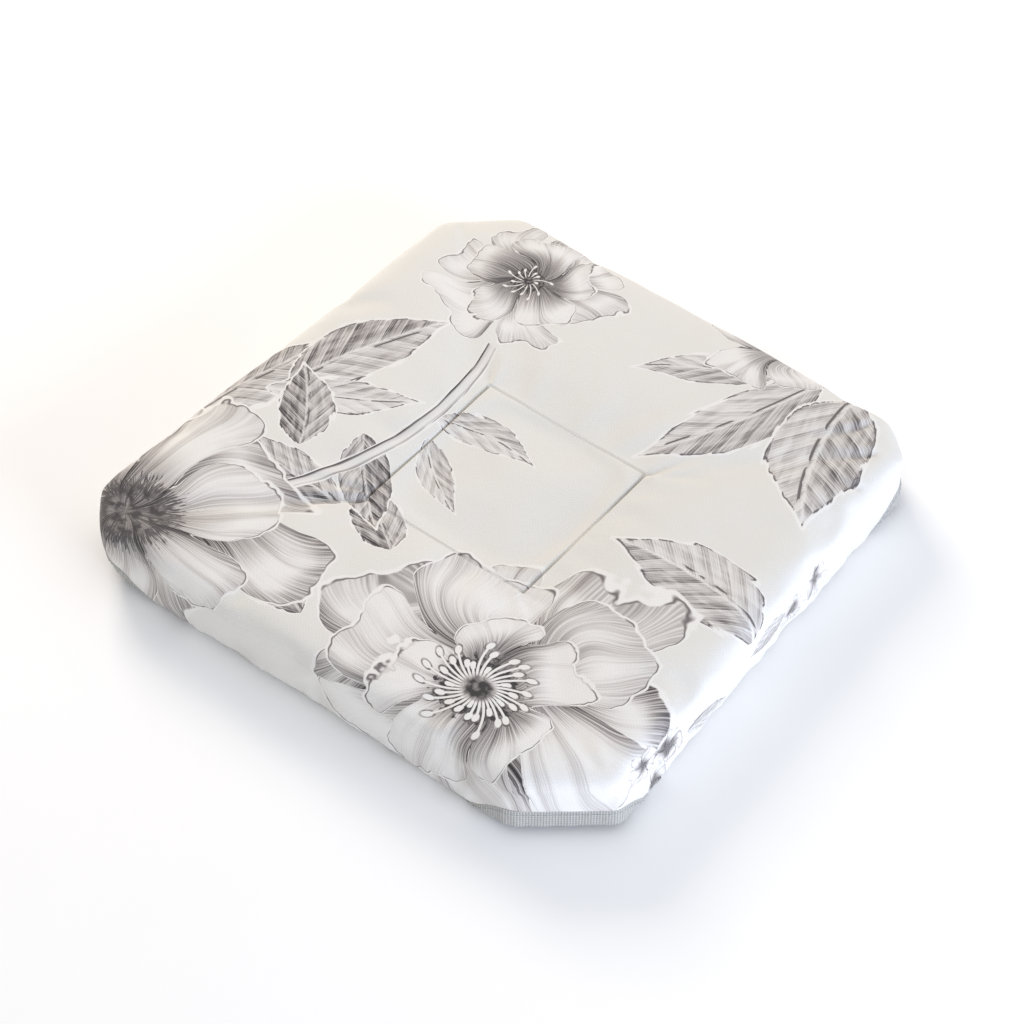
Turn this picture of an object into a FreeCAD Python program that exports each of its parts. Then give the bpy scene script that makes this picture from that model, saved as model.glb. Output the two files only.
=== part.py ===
"""Fitted chair seat pad: a printed cover over wadding and foam, bound with elastic tape.

The cover is one piece of cloth. Its sides turn down round the chair's seat and curl under
it. The four corners are cut off at a slant, and one elastic tape binds the whole edge, so
that it stands upright on each cut corner and lies flat under each side. A square sewn
through all the layers holds the foam in place.

Millimetres. +Z is up, -Y is the front of the seat. The origin is the centre of the face
that rests on the seat.
"""
import FreeCAD, Part

import math
import os

os.makedirs("parts", exist_ok=True)

Vector = FreeCAD.Vector

# The cover's outline, seen from above.
DEPTH = 384.0            # front edge to back edge
FRONT_WIDTH = 404.0      # between the side lines at the front edge
BACK_WIDTH = 360.0
# Each corner's cut, along the front or back edge and along the side. The elastic draws
# the corners in by different amounts.
FRONT_LEFT_CUT = (30.0, 32.0)
FRONT_RIGHT_CUT = (55.0, 42.0)
BACK_RIGHT_CUT = (26.0, 22.0)
BACK_LEFT_CUT = (40.0, 36.0)
CUT_ROUNDING = 18.0      # radius where a cut meets a side

# Heights above the face that rests on the seat.
TOP = 20.0
HEM = -28.0              # lowest cloth, under the seat's edge
TOP_ROUNDING = 9.0
HEM_ROUNDING = 8.0       # the sides curl under with this radius

# Layers. Neighbouring layers are GAP apart.
GAP = 0.3
COVER_CLOTH = 1.0
LINING_CLOTH = 0.8
WADDING = 3.4
WADDING_INSET = 3.0
FOAM_INSET = 6.0

# The square sewn through the pad.
SQUARE = 124.0
SQUARE_CENTRE_Y = -6.0
CHANNEL_WIDTH = 8.0
CHANNEL_DEPTH = 7.0
UNDER_CHANNEL_WIDTH = 4.0
UNDER_CHANNEL_DEPTH = 1.5  # keeps the thread clear of the seat
THREAD_WIDTH = 0.8
THREAD_HEIGHT = 0.5

# The elastic tape.
TAPE_WIDTH = 16.0
TAPE_OUTER_LAYER = -0.3  # it stands this far out of the cover, folded over both cloths
TAPE_INNER_LAYER = 2.4
TAPE_INSET = 20.0        # its middle, under the sides
TAPE_CORNER_Z = -16.5    # its middle, on the cut corners
TAPE_RISE = 55.0         # it turns from flat to upright over this length
STATION_STEP = 9.0       # spacing of the sections that shape the turned-down sides
PATCH_STATIONS = 14      # sections to each patch of surface
STITCH_FROM_EDGE = 2.5   # stitch row, from the tape's edge next to the cloth

# The tape's two ends overlap in the middle of the back edge, held by bar tacks.
TACK_COUNT = 2
TACK_SPACING = 14.0
TACK_SIZE = (1.2, 12.0, 0.5)

# The small blank label sewn to the lining near the back edge.
LABEL_SIZE = (32.0, 18.0, 0.5)
LABEL_PLACE = (70.0, 150.0)
LABEL_STITCH_INSET = 2.0


def side_corners():
    """The four corners that the cover would have if they were not cut."""
    y = DEPTH / 2
    return [
        Vector(-FRONT_WIDTH / 2, -y, 0),
        Vector(FRONT_WIDTH / 2, -y, 0),
        Vector(BACK_WIDTH / 2, y, 0),
        Vector(-BACK_WIDTH / 2, y, 0),
    ]


def cut_corners():
    """The start and the end of each cut, in order round the cover."""
    corners = side_corners()
    sizes = [FRONT_LEFT_CUT, FRONT_RIGHT_CUT, BACK_RIGHT_CUT, BACK_LEFT_CUT]
    cuts = []
    for i, (corner, (along_edge, along_side)) in enumerate(zip(corners, sizes)):
        before = (corners[i - 1] - corner).normalize()
        after = (corners[(i + 1) % 4] - corner).normalize()
        level_before = abs(before.y) < 0.01
        first = along_edge if level_before else along_side
        second = along_side if level_before else along_edge
        cuts.append((corner + before * first, corner + after * second))
    return cuts


def inset_points(points, inset):
    """The corners of a polygon moved in by the same distance from every side."""
    moved = []
    for i, point in enumerate(points):
        before = (point - points[i - 1]).normalize()
        after = (points[(i + 1) % len(points)] - point).normalize()
        turn = math.atan2(before.cross(after).z, before.dot(after))
        left = Vector(-before.y, before.x, 0)
        moved.append(point + (left + before * -math.tan(turn / 2)) * inset)
    return moved


def rounded_loop(points, radius, z):
    """A closed wire through the points, with an arc at each."""
    starts, middles, ends = [], [], []
    for i, point in enumerate(points):
        before = (point - points[i - 1]).normalize()
        after = (points[(i + 1) % len(points)] - point).normalize()
        turn = before.getAngle(after)
        reach = radius * math.tan(turn / 2)
        to_centre = (after - before).normalize()
        depth = radius / math.cos(turn / 2) - radius
        lift = Vector(0, 0, z)
        starts.append(point - before * reach + lift)
        middles.append(point + to_centre * depth + lift)
        ends.append(point + after * reach + lift)
    edges = []
    for i in range(len(points)):
        edges.append(Part.Arc(starts[i], middles[i], ends[i]).toShape())
        edges.append(Part.makeLine(ends[i], starts[(i + 1) % len(points)]))
    return Part.Wire(edges)


def outline(inset, z):
    """The cover's outline, moved in and up."""
    points = [point for cut in cut_corners() for point in cut]
    return rounded_loop(inset_points(points, inset), CUT_ROUNDING - inset, z)


def block(inset, low, high):
    """An upright block with the cover's outline."""
    return Part.Face(outline(inset, low)).extrude(Vector(0, 0, high - low))


def round_level(solid, z, radius):
    """Round the edges of a block that lie at one level."""
    edges = [e for e in solid.Edges if abs(e.BoundBox.ZMin - z) < 0.01 > abs(e.BoundBox.ZMax - z)]
    return solid.makeFillet(radius, edges)


def square_ring(width, low, high, centre_line=SQUARE):
    """A square frame that follows the sewn square."""
    def plate(side):
        corner = Vector(-side / 2, SQUARE_CENTRE_Y - side / 2, low)
        return Part.makeBox(side, side, high - low, corner)
    return plate(centre_line + width).cut(plate(centre_line - width))


def tape_stations():
    """Places round the edge: a point of the outline, the outward direction, and how far
    the tape has turned upright there, from 0 to 1."""
    stations = []
    cuts = [Part.makeLine(start, end) for start, end in cut_corners()]
    for edge in outline(0, 0).OrderedEdges:
        count = max(2, round(edge.Length / STATION_STEP))
        for i in range(count):
            at = edge.FirstParameter + (edge.LastParameter - edge.FirstParameter) * i / count
            point = edge.valueAt(at)
            along = edge.tangentAt(at)
            distance = min(cut.distToShape(Part.Vertex(point))[0] for cut in cuts)
            near = max(0.0, 1 - distance / TAPE_RISE)
            upright = near * near * (3 - 2 * near)
            stations.append((point, Vector(along.y, -along.x, 0), upright))
    return stations


def cloth_point(station, layer, slide):
    """A place on the cloth's side and hem. layer is the depth below the outer face, and
    slide is the length along the cloth from where the hem starts to curl."""
    point, outward, upright = station
    radius = HEM_ROUNDING - layer
    turned = min(max(slide / HEM_ROUNDING, 0), math.pi / 2)
    past_curl = max(slide - HEM_ROUNDING * math.pi / 2, 0)
    inward = layer + radius * (1 - math.cos(turned)) + past_curl
    z = HEM + HEM_ROUNDING - radius * math.sin(turned) - min(slide, 0)
    return point - outward * inward + Vector(0, 0, z)


def tape_slide(upright):
    """How far along the cloth the middle of the tape lies."""
    flat = HEM_ROUNDING * math.pi / 2 + TAPE_INSET - HEM_ROUNDING
    standing = HEM + HEM_ROUNDING - TAPE_CORNER_Z
    return flat + (standing - flat) * upright


def hem_section(station, layer, start, steps=8):
    """Points of one face of the cloth, from a height on its side to the tape's edge."""
    first = HEM + HEM_ROUNDING - start
    last = tape_slide(station[2]) - TAPE_WIDTH / 2 - GAP
    return [cloth_point(station, layer, first + (last - first) * i / steps)
            for i in range(steps + 1)]


def top_section(station, layer, steps=4):
    """Points of one face of the cover, over its rounded top edge."""
    point, outward, upright = station
    radius = TOP_ROUNDING - layer
    section = []
    for i in range(steps):
        turned = math.pi / 2 * i / steps
        inward = TOP_ROUNDING - radius * math.sin(turned)
        z = TOP - TOP_ROUNDING + radius * math.cos(turned)
        section.append(point - outward * inward + Vector(0, 0, z))
    return section


def solid_round_the_edge(sections, capped):
    """A solid that joins one section per station. It is a ring if the sections close on
    themselves. A capped one ends in two flat faces, inside its first and its last points."""
    travelled = [0.0]
    for here, there in zip(sections, sections[1:] + sections[:1]):
        travelled.append(travelled[-1] + (there[0] - here[0]).Length)
    breaks = travelled[:-1:PATCH_STATIONS] + travelled[-1:]
    rings = []
    for loop in zip(*sections):
        curve = Part.BSplineCurve()
        curve.interpolate(Points=list(loop), PeriodicFlag=True, Parameters=travelled)
        rings.append([curve.toShape(a, b) for a, b in zip(breaks, breaks[1:])])
    pairs = list(zip(rings, rings[1:])) + ([] if capped else [(rings[-1], rings[0])])
    faces = [Part.makeRuledSurface(a, b, 1) for one, other in pairs for a, b in zip(one, other)]
    if capped:
        faces += [Part.Face(Part.Wire(ring)) for ring in (rings[0], rings[-1])]
    sewn = Part.makeCompound(faces)
    sewn.sewShape()
    solid = Part.Solid(sewn.Shells[0])
    if solid.Volume < 0:
        solid.reverse()
    return solid


def make_printed_cover():
    """The top and its turned-down sides, with the channel of the sewn square pressed in."""
    sections = []
    for station in tape_stations():
        outer = top_section(station, 0) + hem_section(station, 0, TOP - TOP_ROUNDING)
        inner = (top_section(station, COVER_CLOTH)
                 + hem_section(station, COVER_CLOTH, TOP - TOP_ROUNDING))
        sections.append(outer + inner[::-1])
    shell = solid_round_the_edge(sections, capped=True)
    channel_floor = TOP - CHANNEL_DEPTH
    under_side = channel_floor - COVER_CLOTH
    trough = square_ring(CHANNEL_WIDTH + 2 * COVER_CLOTH, under_side, TOP - COVER_CLOTH / 2)
    opening = square_ring(CHANNEL_WIDTH, channel_floor, TOP + 1)
    return shell.fuse(trough).cut(opening)


def make_lining():
    """The cloth that lies on the seat. It turns down inside the cover's sides."""
    outer_layer = COVER_CLOTH + GAP
    inner_layer = outer_layer + LINING_CLOTH
    sections = []
    for station in tape_stations():
        outer = hem_section(station, outer_layer, LINING_CLOTH)
        inner = hem_section(station, inner_layer, 0)
        sections.append(outer + inner[::-1])
    shell = solid_round_the_edge(sections, capped=True)
    width = UNDER_CHANNEL_WIDTH + 2 * LINING_CLOTH
    trough = square_ring(width, LINING_CLOTH / 2, UNDER_CHANNEL_DEPTH + LINING_CLOTH)
    opening = square_ring(UNDER_CHANNEL_WIDTH, -1, UNDER_CHANNEL_DEPTH)
    return shell.fuse(trough).cut(opening)


def edge_strip(across_from, across_to, outer_layer, inner_layer, steps=4):
    """A strip that follows the cloth round the whole edge, given by its extent across the
    tape, from the tape's middle, and by the depths of its two faces."""
    sections = []
    for station in tape_stations():
        slides = [tape_slide(station[2]) + across_from + (across_to - across_from) * i / steps
                  for i in range(steps + 1)]
        outer = [cloth_point(station, outer_layer, slide) for slide in slides]
        inner = [cloth_point(station, inner_layer, slide) for slide in slides]
        sections.append(outer + inner[::-1])
    return solid_round_the_edge(sections, capped=False)


def make_elastic_tape():
    """The tape, folded over the edges of both cloths."""
    return edge_strip(-TAPE_WIDTH / 2, TAPE_WIDTH / 2, TAPE_OUTER_LAYER, TAPE_INNER_LAYER)


def make_wadding_layer():
    high = TOP - COVER_CLOTH - GAP
    layer = block(WADDING_INSET, high - WADDING, high)
    layer = round_level(layer, high, WADDING * 0.7)
    return layer.cut(channel_room())


def make_foam_core():
    low = LINING_CLOTH + GAP
    high = TOP - COVER_CLOTH - WADDING - 2 * GAP
    core = round_level(block(FOAM_INSET, low, high), high, 4.0)
    width = UNDER_CHANNEL_WIDTH + 2 * (LINING_CLOTH + GAP)
    under_room = square_ring(width, 0, UNDER_CHANNEL_DEPTH + LINING_CLOTH + GAP)
    return core.cut(channel_room()).cut(under_room)


def channel_room():
    """The space that the sewn channel takes out of the filling."""
    width = CHANNEL_WIDTH + 2 * (COVER_CLOTH + GAP)
    return square_ring(width, TOP - COVER_CLOTH - CHANNEL_DEPTH - GAP, TOP)


def make_quilting_thread(z):
    return square_ring(THREAD_WIDTH, z, z + THREAD_HEIGHT)


def make_tape_thread(outer_layer, inner_layer):
    near = -TAPE_WIDTH / 2 + STITCH_FROM_EDGE
    return edge_strip(near, near + THREAD_WIDTH, outer_layer, inner_layer, steps=1)


def make_tape_join_tacks():
    """Bar tacks on the upper face of the tape."""
    width, length, height = TACK_SIZE
    y = DEPTH / 2 - TAPE_INSET - length / 2
    z = HEM + TAPE_INNER_LAYER
    tacks = []
    for i in range(TACK_COUNT):
        x = (i - (TACK_COUNT - 1) / 2) * TACK_SPACING
        tacks.append(Part.makeBox(width, length, height, Vector(x - width / 2, y, z)))
    return Part.makeCompound(tacks)


def make_care_label():
    width, depth, height = LABEL_SIZE
    x, y = LABEL_PLACE
    return Part.makeBox(width, depth, height, Vector(x - width / 2, y - depth / 2, -height))


def make_care_label_stitches():
    """A row of stitches along each short end of the label."""
    width, depth, height = LABEL_SIZE
    x, y = LABEL_PLACE
    rows = []
    for side in (-1, 1):
        middle = x + side * (width / 2 - LABEL_STITCH_INSET)
        corner = Vector(middle - THREAD_WIDTH / 2, y - depth / 2 + 1, -height - THREAD_HEIGHT)
        rows.append(Part.makeBox(THREAD_WIDTH, depth - 2, THREAD_HEIGHT, corner))
    return Part.makeCompound(rows)


nodes = {
    "printed_cover": make_printed_cover(),
    "wadding_layer": make_wadding_layer(),
    "foam_core": make_foam_core(),
    "lining": make_lining(),
    "elastic_tape": make_elastic_tape(),
    "quilting_top_thread": make_quilting_thread(TOP - CHANNEL_DEPTH),
    "quilting_under_thread": make_quilting_thread(UNDER_CHANNEL_DEPTH - THREAD_HEIGHT),
    "tape_outer_thread": make_tape_thread(TAPE_OUTER_LAYER - 0.3, TAPE_OUTER_LAYER),
    "tape_inner_thread": make_tape_thread(TAPE_INNER_LAYER, TAPE_INNER_LAYER + 0.3),
    "tape_join_tacks": make_tape_join_tacks(),
    "care_label": make_care_label(),
    "care_label_stitches": make_care_label_stitches(),
}

for name, shape in nodes.items():
    shape.exportStep("parts/" + name + ".step")
    box = shape.BoundBox
    print(name, shape.isValid(), len(shape.Solids), round(shape.Volume / 1000, 2), "cm3",
          [round(v, 1) for v in (box.XMin, box.YMin, box.ZMin, box.XMax, box.YMax, box.ZMax)])
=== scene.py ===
# %% [markdown]
# # A padded cover that fits over a chair's seat
#
# The real thing is sewn from flat cloth. A printed canvas goes over the top and down the
# sides, a plain lining lies on the seat, and foam with a thin sheet of wadding is shut in
# between them. One elastic tape binds the whole lower edge, so that it curls under the
# seat. A square sewn through all the layers keeps the filling in place.
#
# The CAD model gives each piece its place and size. This script makes the cloth look like
# cloth. It starts by loading that model, which is never moved.

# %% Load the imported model
import math

import bmesh
import bpy
import numpy as np
from mathutils import Matrix, Vector, noise
from mathutils.bvhtree import BVHTree


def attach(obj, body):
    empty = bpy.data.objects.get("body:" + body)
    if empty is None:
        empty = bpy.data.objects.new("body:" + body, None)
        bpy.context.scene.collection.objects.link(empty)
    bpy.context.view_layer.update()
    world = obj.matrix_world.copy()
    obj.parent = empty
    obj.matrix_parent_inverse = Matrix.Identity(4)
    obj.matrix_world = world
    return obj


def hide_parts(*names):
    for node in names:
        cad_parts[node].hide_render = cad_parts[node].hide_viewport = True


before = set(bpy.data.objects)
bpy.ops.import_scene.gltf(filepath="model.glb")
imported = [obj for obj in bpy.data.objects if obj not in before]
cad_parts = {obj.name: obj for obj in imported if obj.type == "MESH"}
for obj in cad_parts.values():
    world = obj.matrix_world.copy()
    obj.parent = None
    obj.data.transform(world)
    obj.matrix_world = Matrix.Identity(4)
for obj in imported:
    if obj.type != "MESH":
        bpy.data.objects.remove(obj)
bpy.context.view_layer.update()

MM = 0.001
scene = bpy.context.scene

# %% [markdown]
# ## The camera
#
# The seat pad is seen from its front right corner, from a good height. A long lens from
# two and a half metres keeps its far edge nearly as wide as its near one. The camera's
# three axes are worked out from the two viewing angles, and a small roll turns it about
# its own line of sight.

# %% Camera
AZIMUTH, ELEVATION, ROLL = (math.radians(angle) for angle in (37.49, 48.02, 0.75))
TARGET = Vector((18.5, -23.7, 20.0)) * MM
AWAY, LENS = 2.553, 145.2  # metres, and millimetres of lens


def way_to(azimuth, elevation):
    """The direction at an angle round the pad from its front, and at an angle above it."""
    return Vector((math.sin(azimuth) * math.cos(elevation),
                   -math.cos(azimuth) * math.cos(elevation), math.sin(elevation)))


to_camera = way_to(AZIMUTH, ELEVATION)
rightwards = Vector((math.cos(AZIMUTH), math.sin(AZIMUTH), 0))
axes = Matrix((rightwards, to_camera.cross(rightwards), to_camera)).transposed()

camera_data = bpy.data.cameras.new("camera")
camera_data.lens = LENS
camera = bpy.data.objects.new("camera", camera_data)
scene.collection.objects.link(camera)
camera.matrix_world = (Matrix.Translation(TARGET + to_camera * AWAY) @ axes.to_4x4()
                       @ Matrix.Rotation(ROLL, 4, "Z"))
scene.camera = camera
print("camera at", [round(v, 3) for v in camera.matrix_world.translation])

# %% [markdown]
# ## The cover's outline
#
# Every piece follows the same outline: a square that narrows a little to the back, with
# its four corners cut off at a slant. The elastic draws the corners in by different
# amounts, so each has its own cut. The outline is kept as eight points, one at each end
# of each cut. Moving every side in by the same distance gives the outline of an inner
# layer. All lengths in these helpers are millimetres.

# %% The eight points of the outline
DEPTH, FRONT_WIDTH, BACK_WIDTH = 384.0, 404.0, 360.0
# along the front or back edge, and along the side: front left, front right, back right, back left
CUTS = ((30.0, 32.0), (55.0, 42.0), (26.0, 22.0), (40.0, 36.0))
CORNER_RADIUS = 18.0


def cut_corners():
    """The start and the end of each corner's cut, in order round the cover."""
    y = DEPTH / 2
    corners = [Vector((-FRONT_WIDTH / 2, -y, 0)), Vector((FRONT_WIDTH / 2, -y, 0)),
               Vector((BACK_WIDTH / 2, y, 0)), Vector((-BACK_WIDTH / 2, y, 0))]
    points = []
    for i, (corner, (on_edge, on_side)) in enumerate(zip(corners, CUTS)):
        for other in (corners[i - 1], corners[(i + 1) % 4]):
            along = (other - corner).normalized()
            points.append(corner + along * (on_edge if abs(along.y) < 0.01 else on_side))
    return points


def inset_points(points, inset):
    """The corners of a polygon moved in by the same distance from every side."""
    moved = []
    for i, point in enumerate(points):
        before = (point - points[i - 1]).normalized()
        after = (points[(i + 1) % len(points)] - point).normalized()
        turn = math.atan2(before.cross(after).z, before.dot(after))
        left = Vector((-before.y, before.x, 0))
        moved.append(point + (left - before * math.tan(turn / 2)) * inset)
    return moved


OUTLINE = cut_corners()
CORE = inset_points(OUTLINE, CORNER_RADIUS)
print("outline, mm:", [(round(p.x), round(p.y)) for p in OUTLINE])

# %% [markdown]
# ## Cloth round the edge
#
# From the flat top, the cloth rounds over, runs down the side and curls under. A place on
# it is told by how far along the cloth it is from where the curl starts, its *slide*. Flat,
# the cloth is the same outline with the slide laid straight out, and that flat place is
# where the print goes, because it was printed before it was sewn. There are tens of
# thousands of points, so these helpers work on whole arrays of them at once.

# %% From points in space to their places on the flat cloth
TOP, HEM = 20.0, -28.0
TOP_RADIUS, HEM_RADIUS = 9.0, 8.0
SIDE_LENGTH = TOP - TOP_RADIUS - HEM - HEM_RADIUS
TAPE_WIDTH, TAPE_INSET, TAPE_CORNER_Z, TAPE_RISE = 16.0, 20.0, -16.5, 55.0


def nearest_on(lines, points):
    """For points of the plane, the nearest place on some lines, and how far away it is."""
    best = np.full(len(points), 1e9)
    foot = np.zeros_like(points)
    for start, end in lines:
        start, along = np.array(start[:2]), np.array((end - start)[:2])
        t = np.clip((points - start) @ along / (along @ along), 0, 1)
        place = start + t[:, None] * along
        away = np.linalg.norm(points - place, axis=1)
        closer = away < best
        best[closer], foot[closer] = away[closer], place[closer]
    return foot, best


def how_upright(points):
    """How far the tape has turned upright near points of the outline, from 0 to 1."""
    foot, distance = nearest_on(list(zip(OUTLINE[::2], OUTLINE[1::2])), points)
    near = np.maximum(0, 1 - distance / TAPE_RISE)
    return near * near * (3 - 2 * near)


def tape_slide(upright):
    """How far along the cloth the middle of the tape lies."""
    flat = HEM_RADIUS * math.pi / 2 + TAPE_INSET - HEM_RADIUS
    return flat + (HEM + HEM_RADIUS - TAPE_CORNER_Z - flat) * upright


def unroll(points, top=TOP):
    """The points' places on the flat cloth, their slides, the ways out, and the tape's turn."""
    level, height = points[:, :2], points[:, 2]
    sides = list(zip(CORE, CORE[1:] + CORE[:1]))
    foot, away = nearest_on(sides, level)
    inside = np.all([(level - np.array(a[:2])) @ np.array((b.y - a.y, a.x - b.x)) < 0
                     for a, b in sides], axis=0)
    away = np.where(inside, 0, away)
    out = (level - foot) / np.maximum(away, 1e-9)[:, None]
    past_top = CORNER_RADIUS - TOP_RADIUS
    past_hem = CORNER_RADIUS - HEM_RADIUS
    over = np.arctan2(np.maximum(away - past_top, 0), height - top + TOP_RADIUS)
    over = TOP_RADIUS * (over - math.pi / 2) - SIDE_LENGTH + np.minimum(away - past_top, 0)
    under = np.arctan2(HEM + HEM_RADIUS - height, np.maximum(away - past_hem, 0))
    under = HEM_RADIUS * under + np.maximum(past_hem - away, 0)
    slide = np.where(height > top - TOP_RADIUS, over,
                     np.where(height > HEM + HEM_RADIUS, HEM + HEM_RADIUS - height, under))
    reach = past_top + TOP_RADIUS * math.pi / 2 + SIDE_LENGTH + slide
    flat = np.where(inside[:, None], level, foot + out * reach[:, None])
    slide = np.where(inside, np.where(height > 0, -999, 999), slide)
    upright = np.where(inside, 0, how_upright(foot + out * CORNER_RADIUS))
    return flat, slide, out, upright


print("cloth over one side, mm:", round(TOP_RADIUS * math.pi / 2 + SIDE_LENGTH + tape_slide(0)))

# %% [markdown]
# ## A block to dress
#
# A cushion maker starts from the foam, and so does this. A plane is trimmed along the
# outline's eight sides, its corners are rounded, and it is pulled up into a block whose
# top and bottom edges are rounded too. The cover and the lining are then dressed over
# such blocks. Trimming a plane with straight cuts is how the paper pattern is made, and it
# gives exact sides with no points typed in.

# %% Trim a plane and raise a block
def select_only(obj):
    """Make one object the only selected one, because an operator acts on all of them."""
    bpy.ops.object.select_all(action="DESELECT")
    obj.select_set(True)
    bpy.context.view_layer.objects.active = obj


def pick_edges(obj, wanted):
    """In edit mode, select the edges whose two ends are both wanted."""
    mesh = bmesh.from_edit_mesh(obj.data)
    for edge in mesh.edges:
        edge.select_set(all(wanted(v.co / MM) for v in edge.verts))
    mesh.select_flush_mode()
    bmesh.update_edit_mesh(obj.data)


def seat_block(name, inset, low, high, top_radius, low_radius=0):
    """A block with the cover's outline moved in, and rounded along its edges."""
    bpy.ops.object.select_all(action="DESELECT")
    bpy.ops.mesh.primitive_plane_add(size=0.6, location=(0, 0, low * MM))
    block = bpy.context.object
    block.name = name
    bpy.ops.object.transform_apply()
    bpy.ops.object.mode_set(mode="EDIT")
    corners = inset_points(OUTLINE, inset)
    for start, end in zip(corners, corners[1:] + corners[:1]):
        out = Vector((end.y - start.y, start.x - end.x, 0)).normalized()
        bpy.ops.mesh.select_all(action="SELECT")
        bpy.ops.mesh.bisect(plane_co=start * MM, plane_no=out, clear_outer=True)
    bpy.ops.mesh.select_all(action="SELECT")
    reach = (CORNER_RADIUS - inset) * math.tan(math.pi / 8)
    bpy.ops.mesh.bevel(offset=reach * MM, segments=6, affect="VERTICES")
    bpy.ops.mesh.select_all(action="SELECT")
    bpy.ops.mesh.extrude_region_move(
        TRANSFORM_OT_translate={"value": (0, 0, (high - low) * MM)})
    for level, radius in ((high, top_radius), (low, low_radius)):
        if radius:
            bpy.ops.mesh.select_mode(type="EDGE")
            pick_edges(block, lambda p: abs(p.z - level) < 0.01)
            bpy.ops.mesh.bevel(offset=radius * MM, segments=5, affect="EDGES")
    bpy.ops.mesh.select_all(action="SELECT")
    bpy.ops.mesh.normals_make_consistent(inside=False)
    bpy.ops.object.mode_set(mode="OBJECT")
    return block


def spots_of(obj):
    """The points of an object as an array, in millimetres."""
    spots = np.empty(len(obj.data.vertices) * 3)
    obj.data.vertices.foreach_get("co", spots)
    return spots.reshape(-1, 3) / MM


def place_spots(obj, spots):
    """Move the points of an object to these places, in millimetres."""
    obj.data.vertices.foreach_set("co", (spots * MM).ravel())
    obj.data.update()


def size_of(obj):
    """An object's lowest and highest corners, in millimetres."""
    spots = spots_of(obj)
    return [spots.min(axis=0).round(1).tolist(), spots.max(axis=0).round(1).tolist()]


START_TOP = TOP - 3.0
cover = seat_block("cover_cloth", 0, HEM, START_TOP, TOP_RADIUS, HEM_RADIUS)
print("block, mm:", size_of(cover))

# %% [markdown]
# ## Even squares for the cloth
#
# Cloth only bends well where its mesh is a fine, even net, so the block is remeshed into
# squares of a few millimetres. Each point then remembers where it started. The print and
# the hem are worked out from that later, when the cloth has swollen and creased.

# %% Remesh, and remember where each point started
VOXEL = 4.6

select_only(cover)
cover.data.remesh_voxel_size = VOXEL * MM
bpy.ops.object.voxel_remesh()


def remember(obj):
    """Keep each point's place in an attribute of the mesh."""
    kept = obj.data.attributes.new("start", "FLOAT_VECTOR", "POINT")
    kept.data.foreach_set("vector", spots_of(obj).ravel())


def starts_of(obj):
    """Where each point started, in millimetres."""
    starts = np.empty(len(obj.data.vertices) * 3)
    obj.data.attributes["start"].data.foreach_get("vector", starts)
    return starts.reshape(-1, 3)


remember(cover)
print("remeshed points:", len(cover.data.vertices))

# %% [markdown]
# ## Sewing the square, and letting the cloth swell
#
# A row of stitches pulls the cloth down in a square, and the filling pushes it out
# everywhere else. The stitched points and the taped edge are held, and a cloth simulation
# with air pressure and no gravity fills the rest. Each point may only move a few
# millimetres, because foam is not a balloon.

# %% Hold the seams and run the simulation
SQUARE, SQUARE_Y = 124.0, -6.0
SEAM_Z = TOP - 7.0


def from_square(points):
    """How far points are from the sewn square's line, seen from above."""
    past = np.abs(points[:, :2] - (0, SQUARE_Y)) - SQUARE / 2
    outside = np.hypot(*np.maximum(past, 0).T)
    return np.where(past.max(axis=1) <= 0, -past.max(axis=1), outside)


def swell(obj, held, pressure, most, frames=20):
    """Blow the cloth up, with some points held, and keep each point near its start."""
    before = spots_of(obj)
    facing = np.array([v.normal for v in obj.data.vertices])
    group = obj.vertex_groups.new(name="held")
    group.add(held, 1.0, "REPLACE")
    cloth = obj.modifiers.new("Cloth", "CLOTH")
    cloth.settings.quality = 6
    cloth.settings.mass = 0.25
    cloth.settings.tension_stiffness = 20
    cloth.settings.compression_stiffness = 20
    cloth.settings.shear_stiffness = 8
    cloth.settings.bending_stiffness = 0.8
    cloth.settings.shrink_min = -0.012
    cloth.settings.use_pressure = True
    cloth.settings.uniform_pressure_force = pressure
    cloth.settings.effector_weights.gravity = 0
    cloth.settings.vertex_group_mass = "held"
    cloth.point_cache.frame_start, cloth.point_cache.frame_end = 1, frames
    for number in range(1, frames + 1):
        scene.frame_set(number)
    select_only(obj)
    bpy.ops.object.modifier_apply(modifier="Cloth")
    scene.frame_set(1)
    obj.vertex_groups.clear()
    move = spots_of(obj) - before
    lift = (move * facing).sum(axis=1, keepdims=True)
    aside = move - facing * lift
    aside /= 1 + np.linalg.norm(aside, axis=1, keepdims=True) * 3 / most
    limit = most * (0.4 + 0.6 * np.abs(facing[:, 2:]))
    place_spots(obj, before + facing * limit * np.tanh(lift / limit) + aside)
    return np.abs(lift).max()


spots = spots_of(cover)
flat, slide, out, upright = unroll(spots, START_TOP)
sewn = (spots[:, 2] > 5) & (from_square(spots) < VOXEL * 0.6)
taped = slide > tape_slide(upright) - TAPE_WIDTH / 2 - 5
spots[sewn, 2] = SEAM_Z + 2.5
place_spots(cover, spots)
most = swell(cover, np.flatnonzero(sewn | taped).tolist(), 0.8, 5.0)
print("furthest that a point was pushed, mm:", round(most, 1))
print("swollen cloth, mm:", size_of(cover))

# %% [markdown]
# ## A finer net, and a sharp seam
#
# The swollen net is smoothed a little and each square is split in four, which gives the
# cloth its curves. A seam is sharper than any square, so the net is also cut along the
# sewn lines and a little to each side of them. Those new rows of points are then pulled
# down to the stitches, steeply next to the seam and hardly at all a centimetre away.

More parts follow.
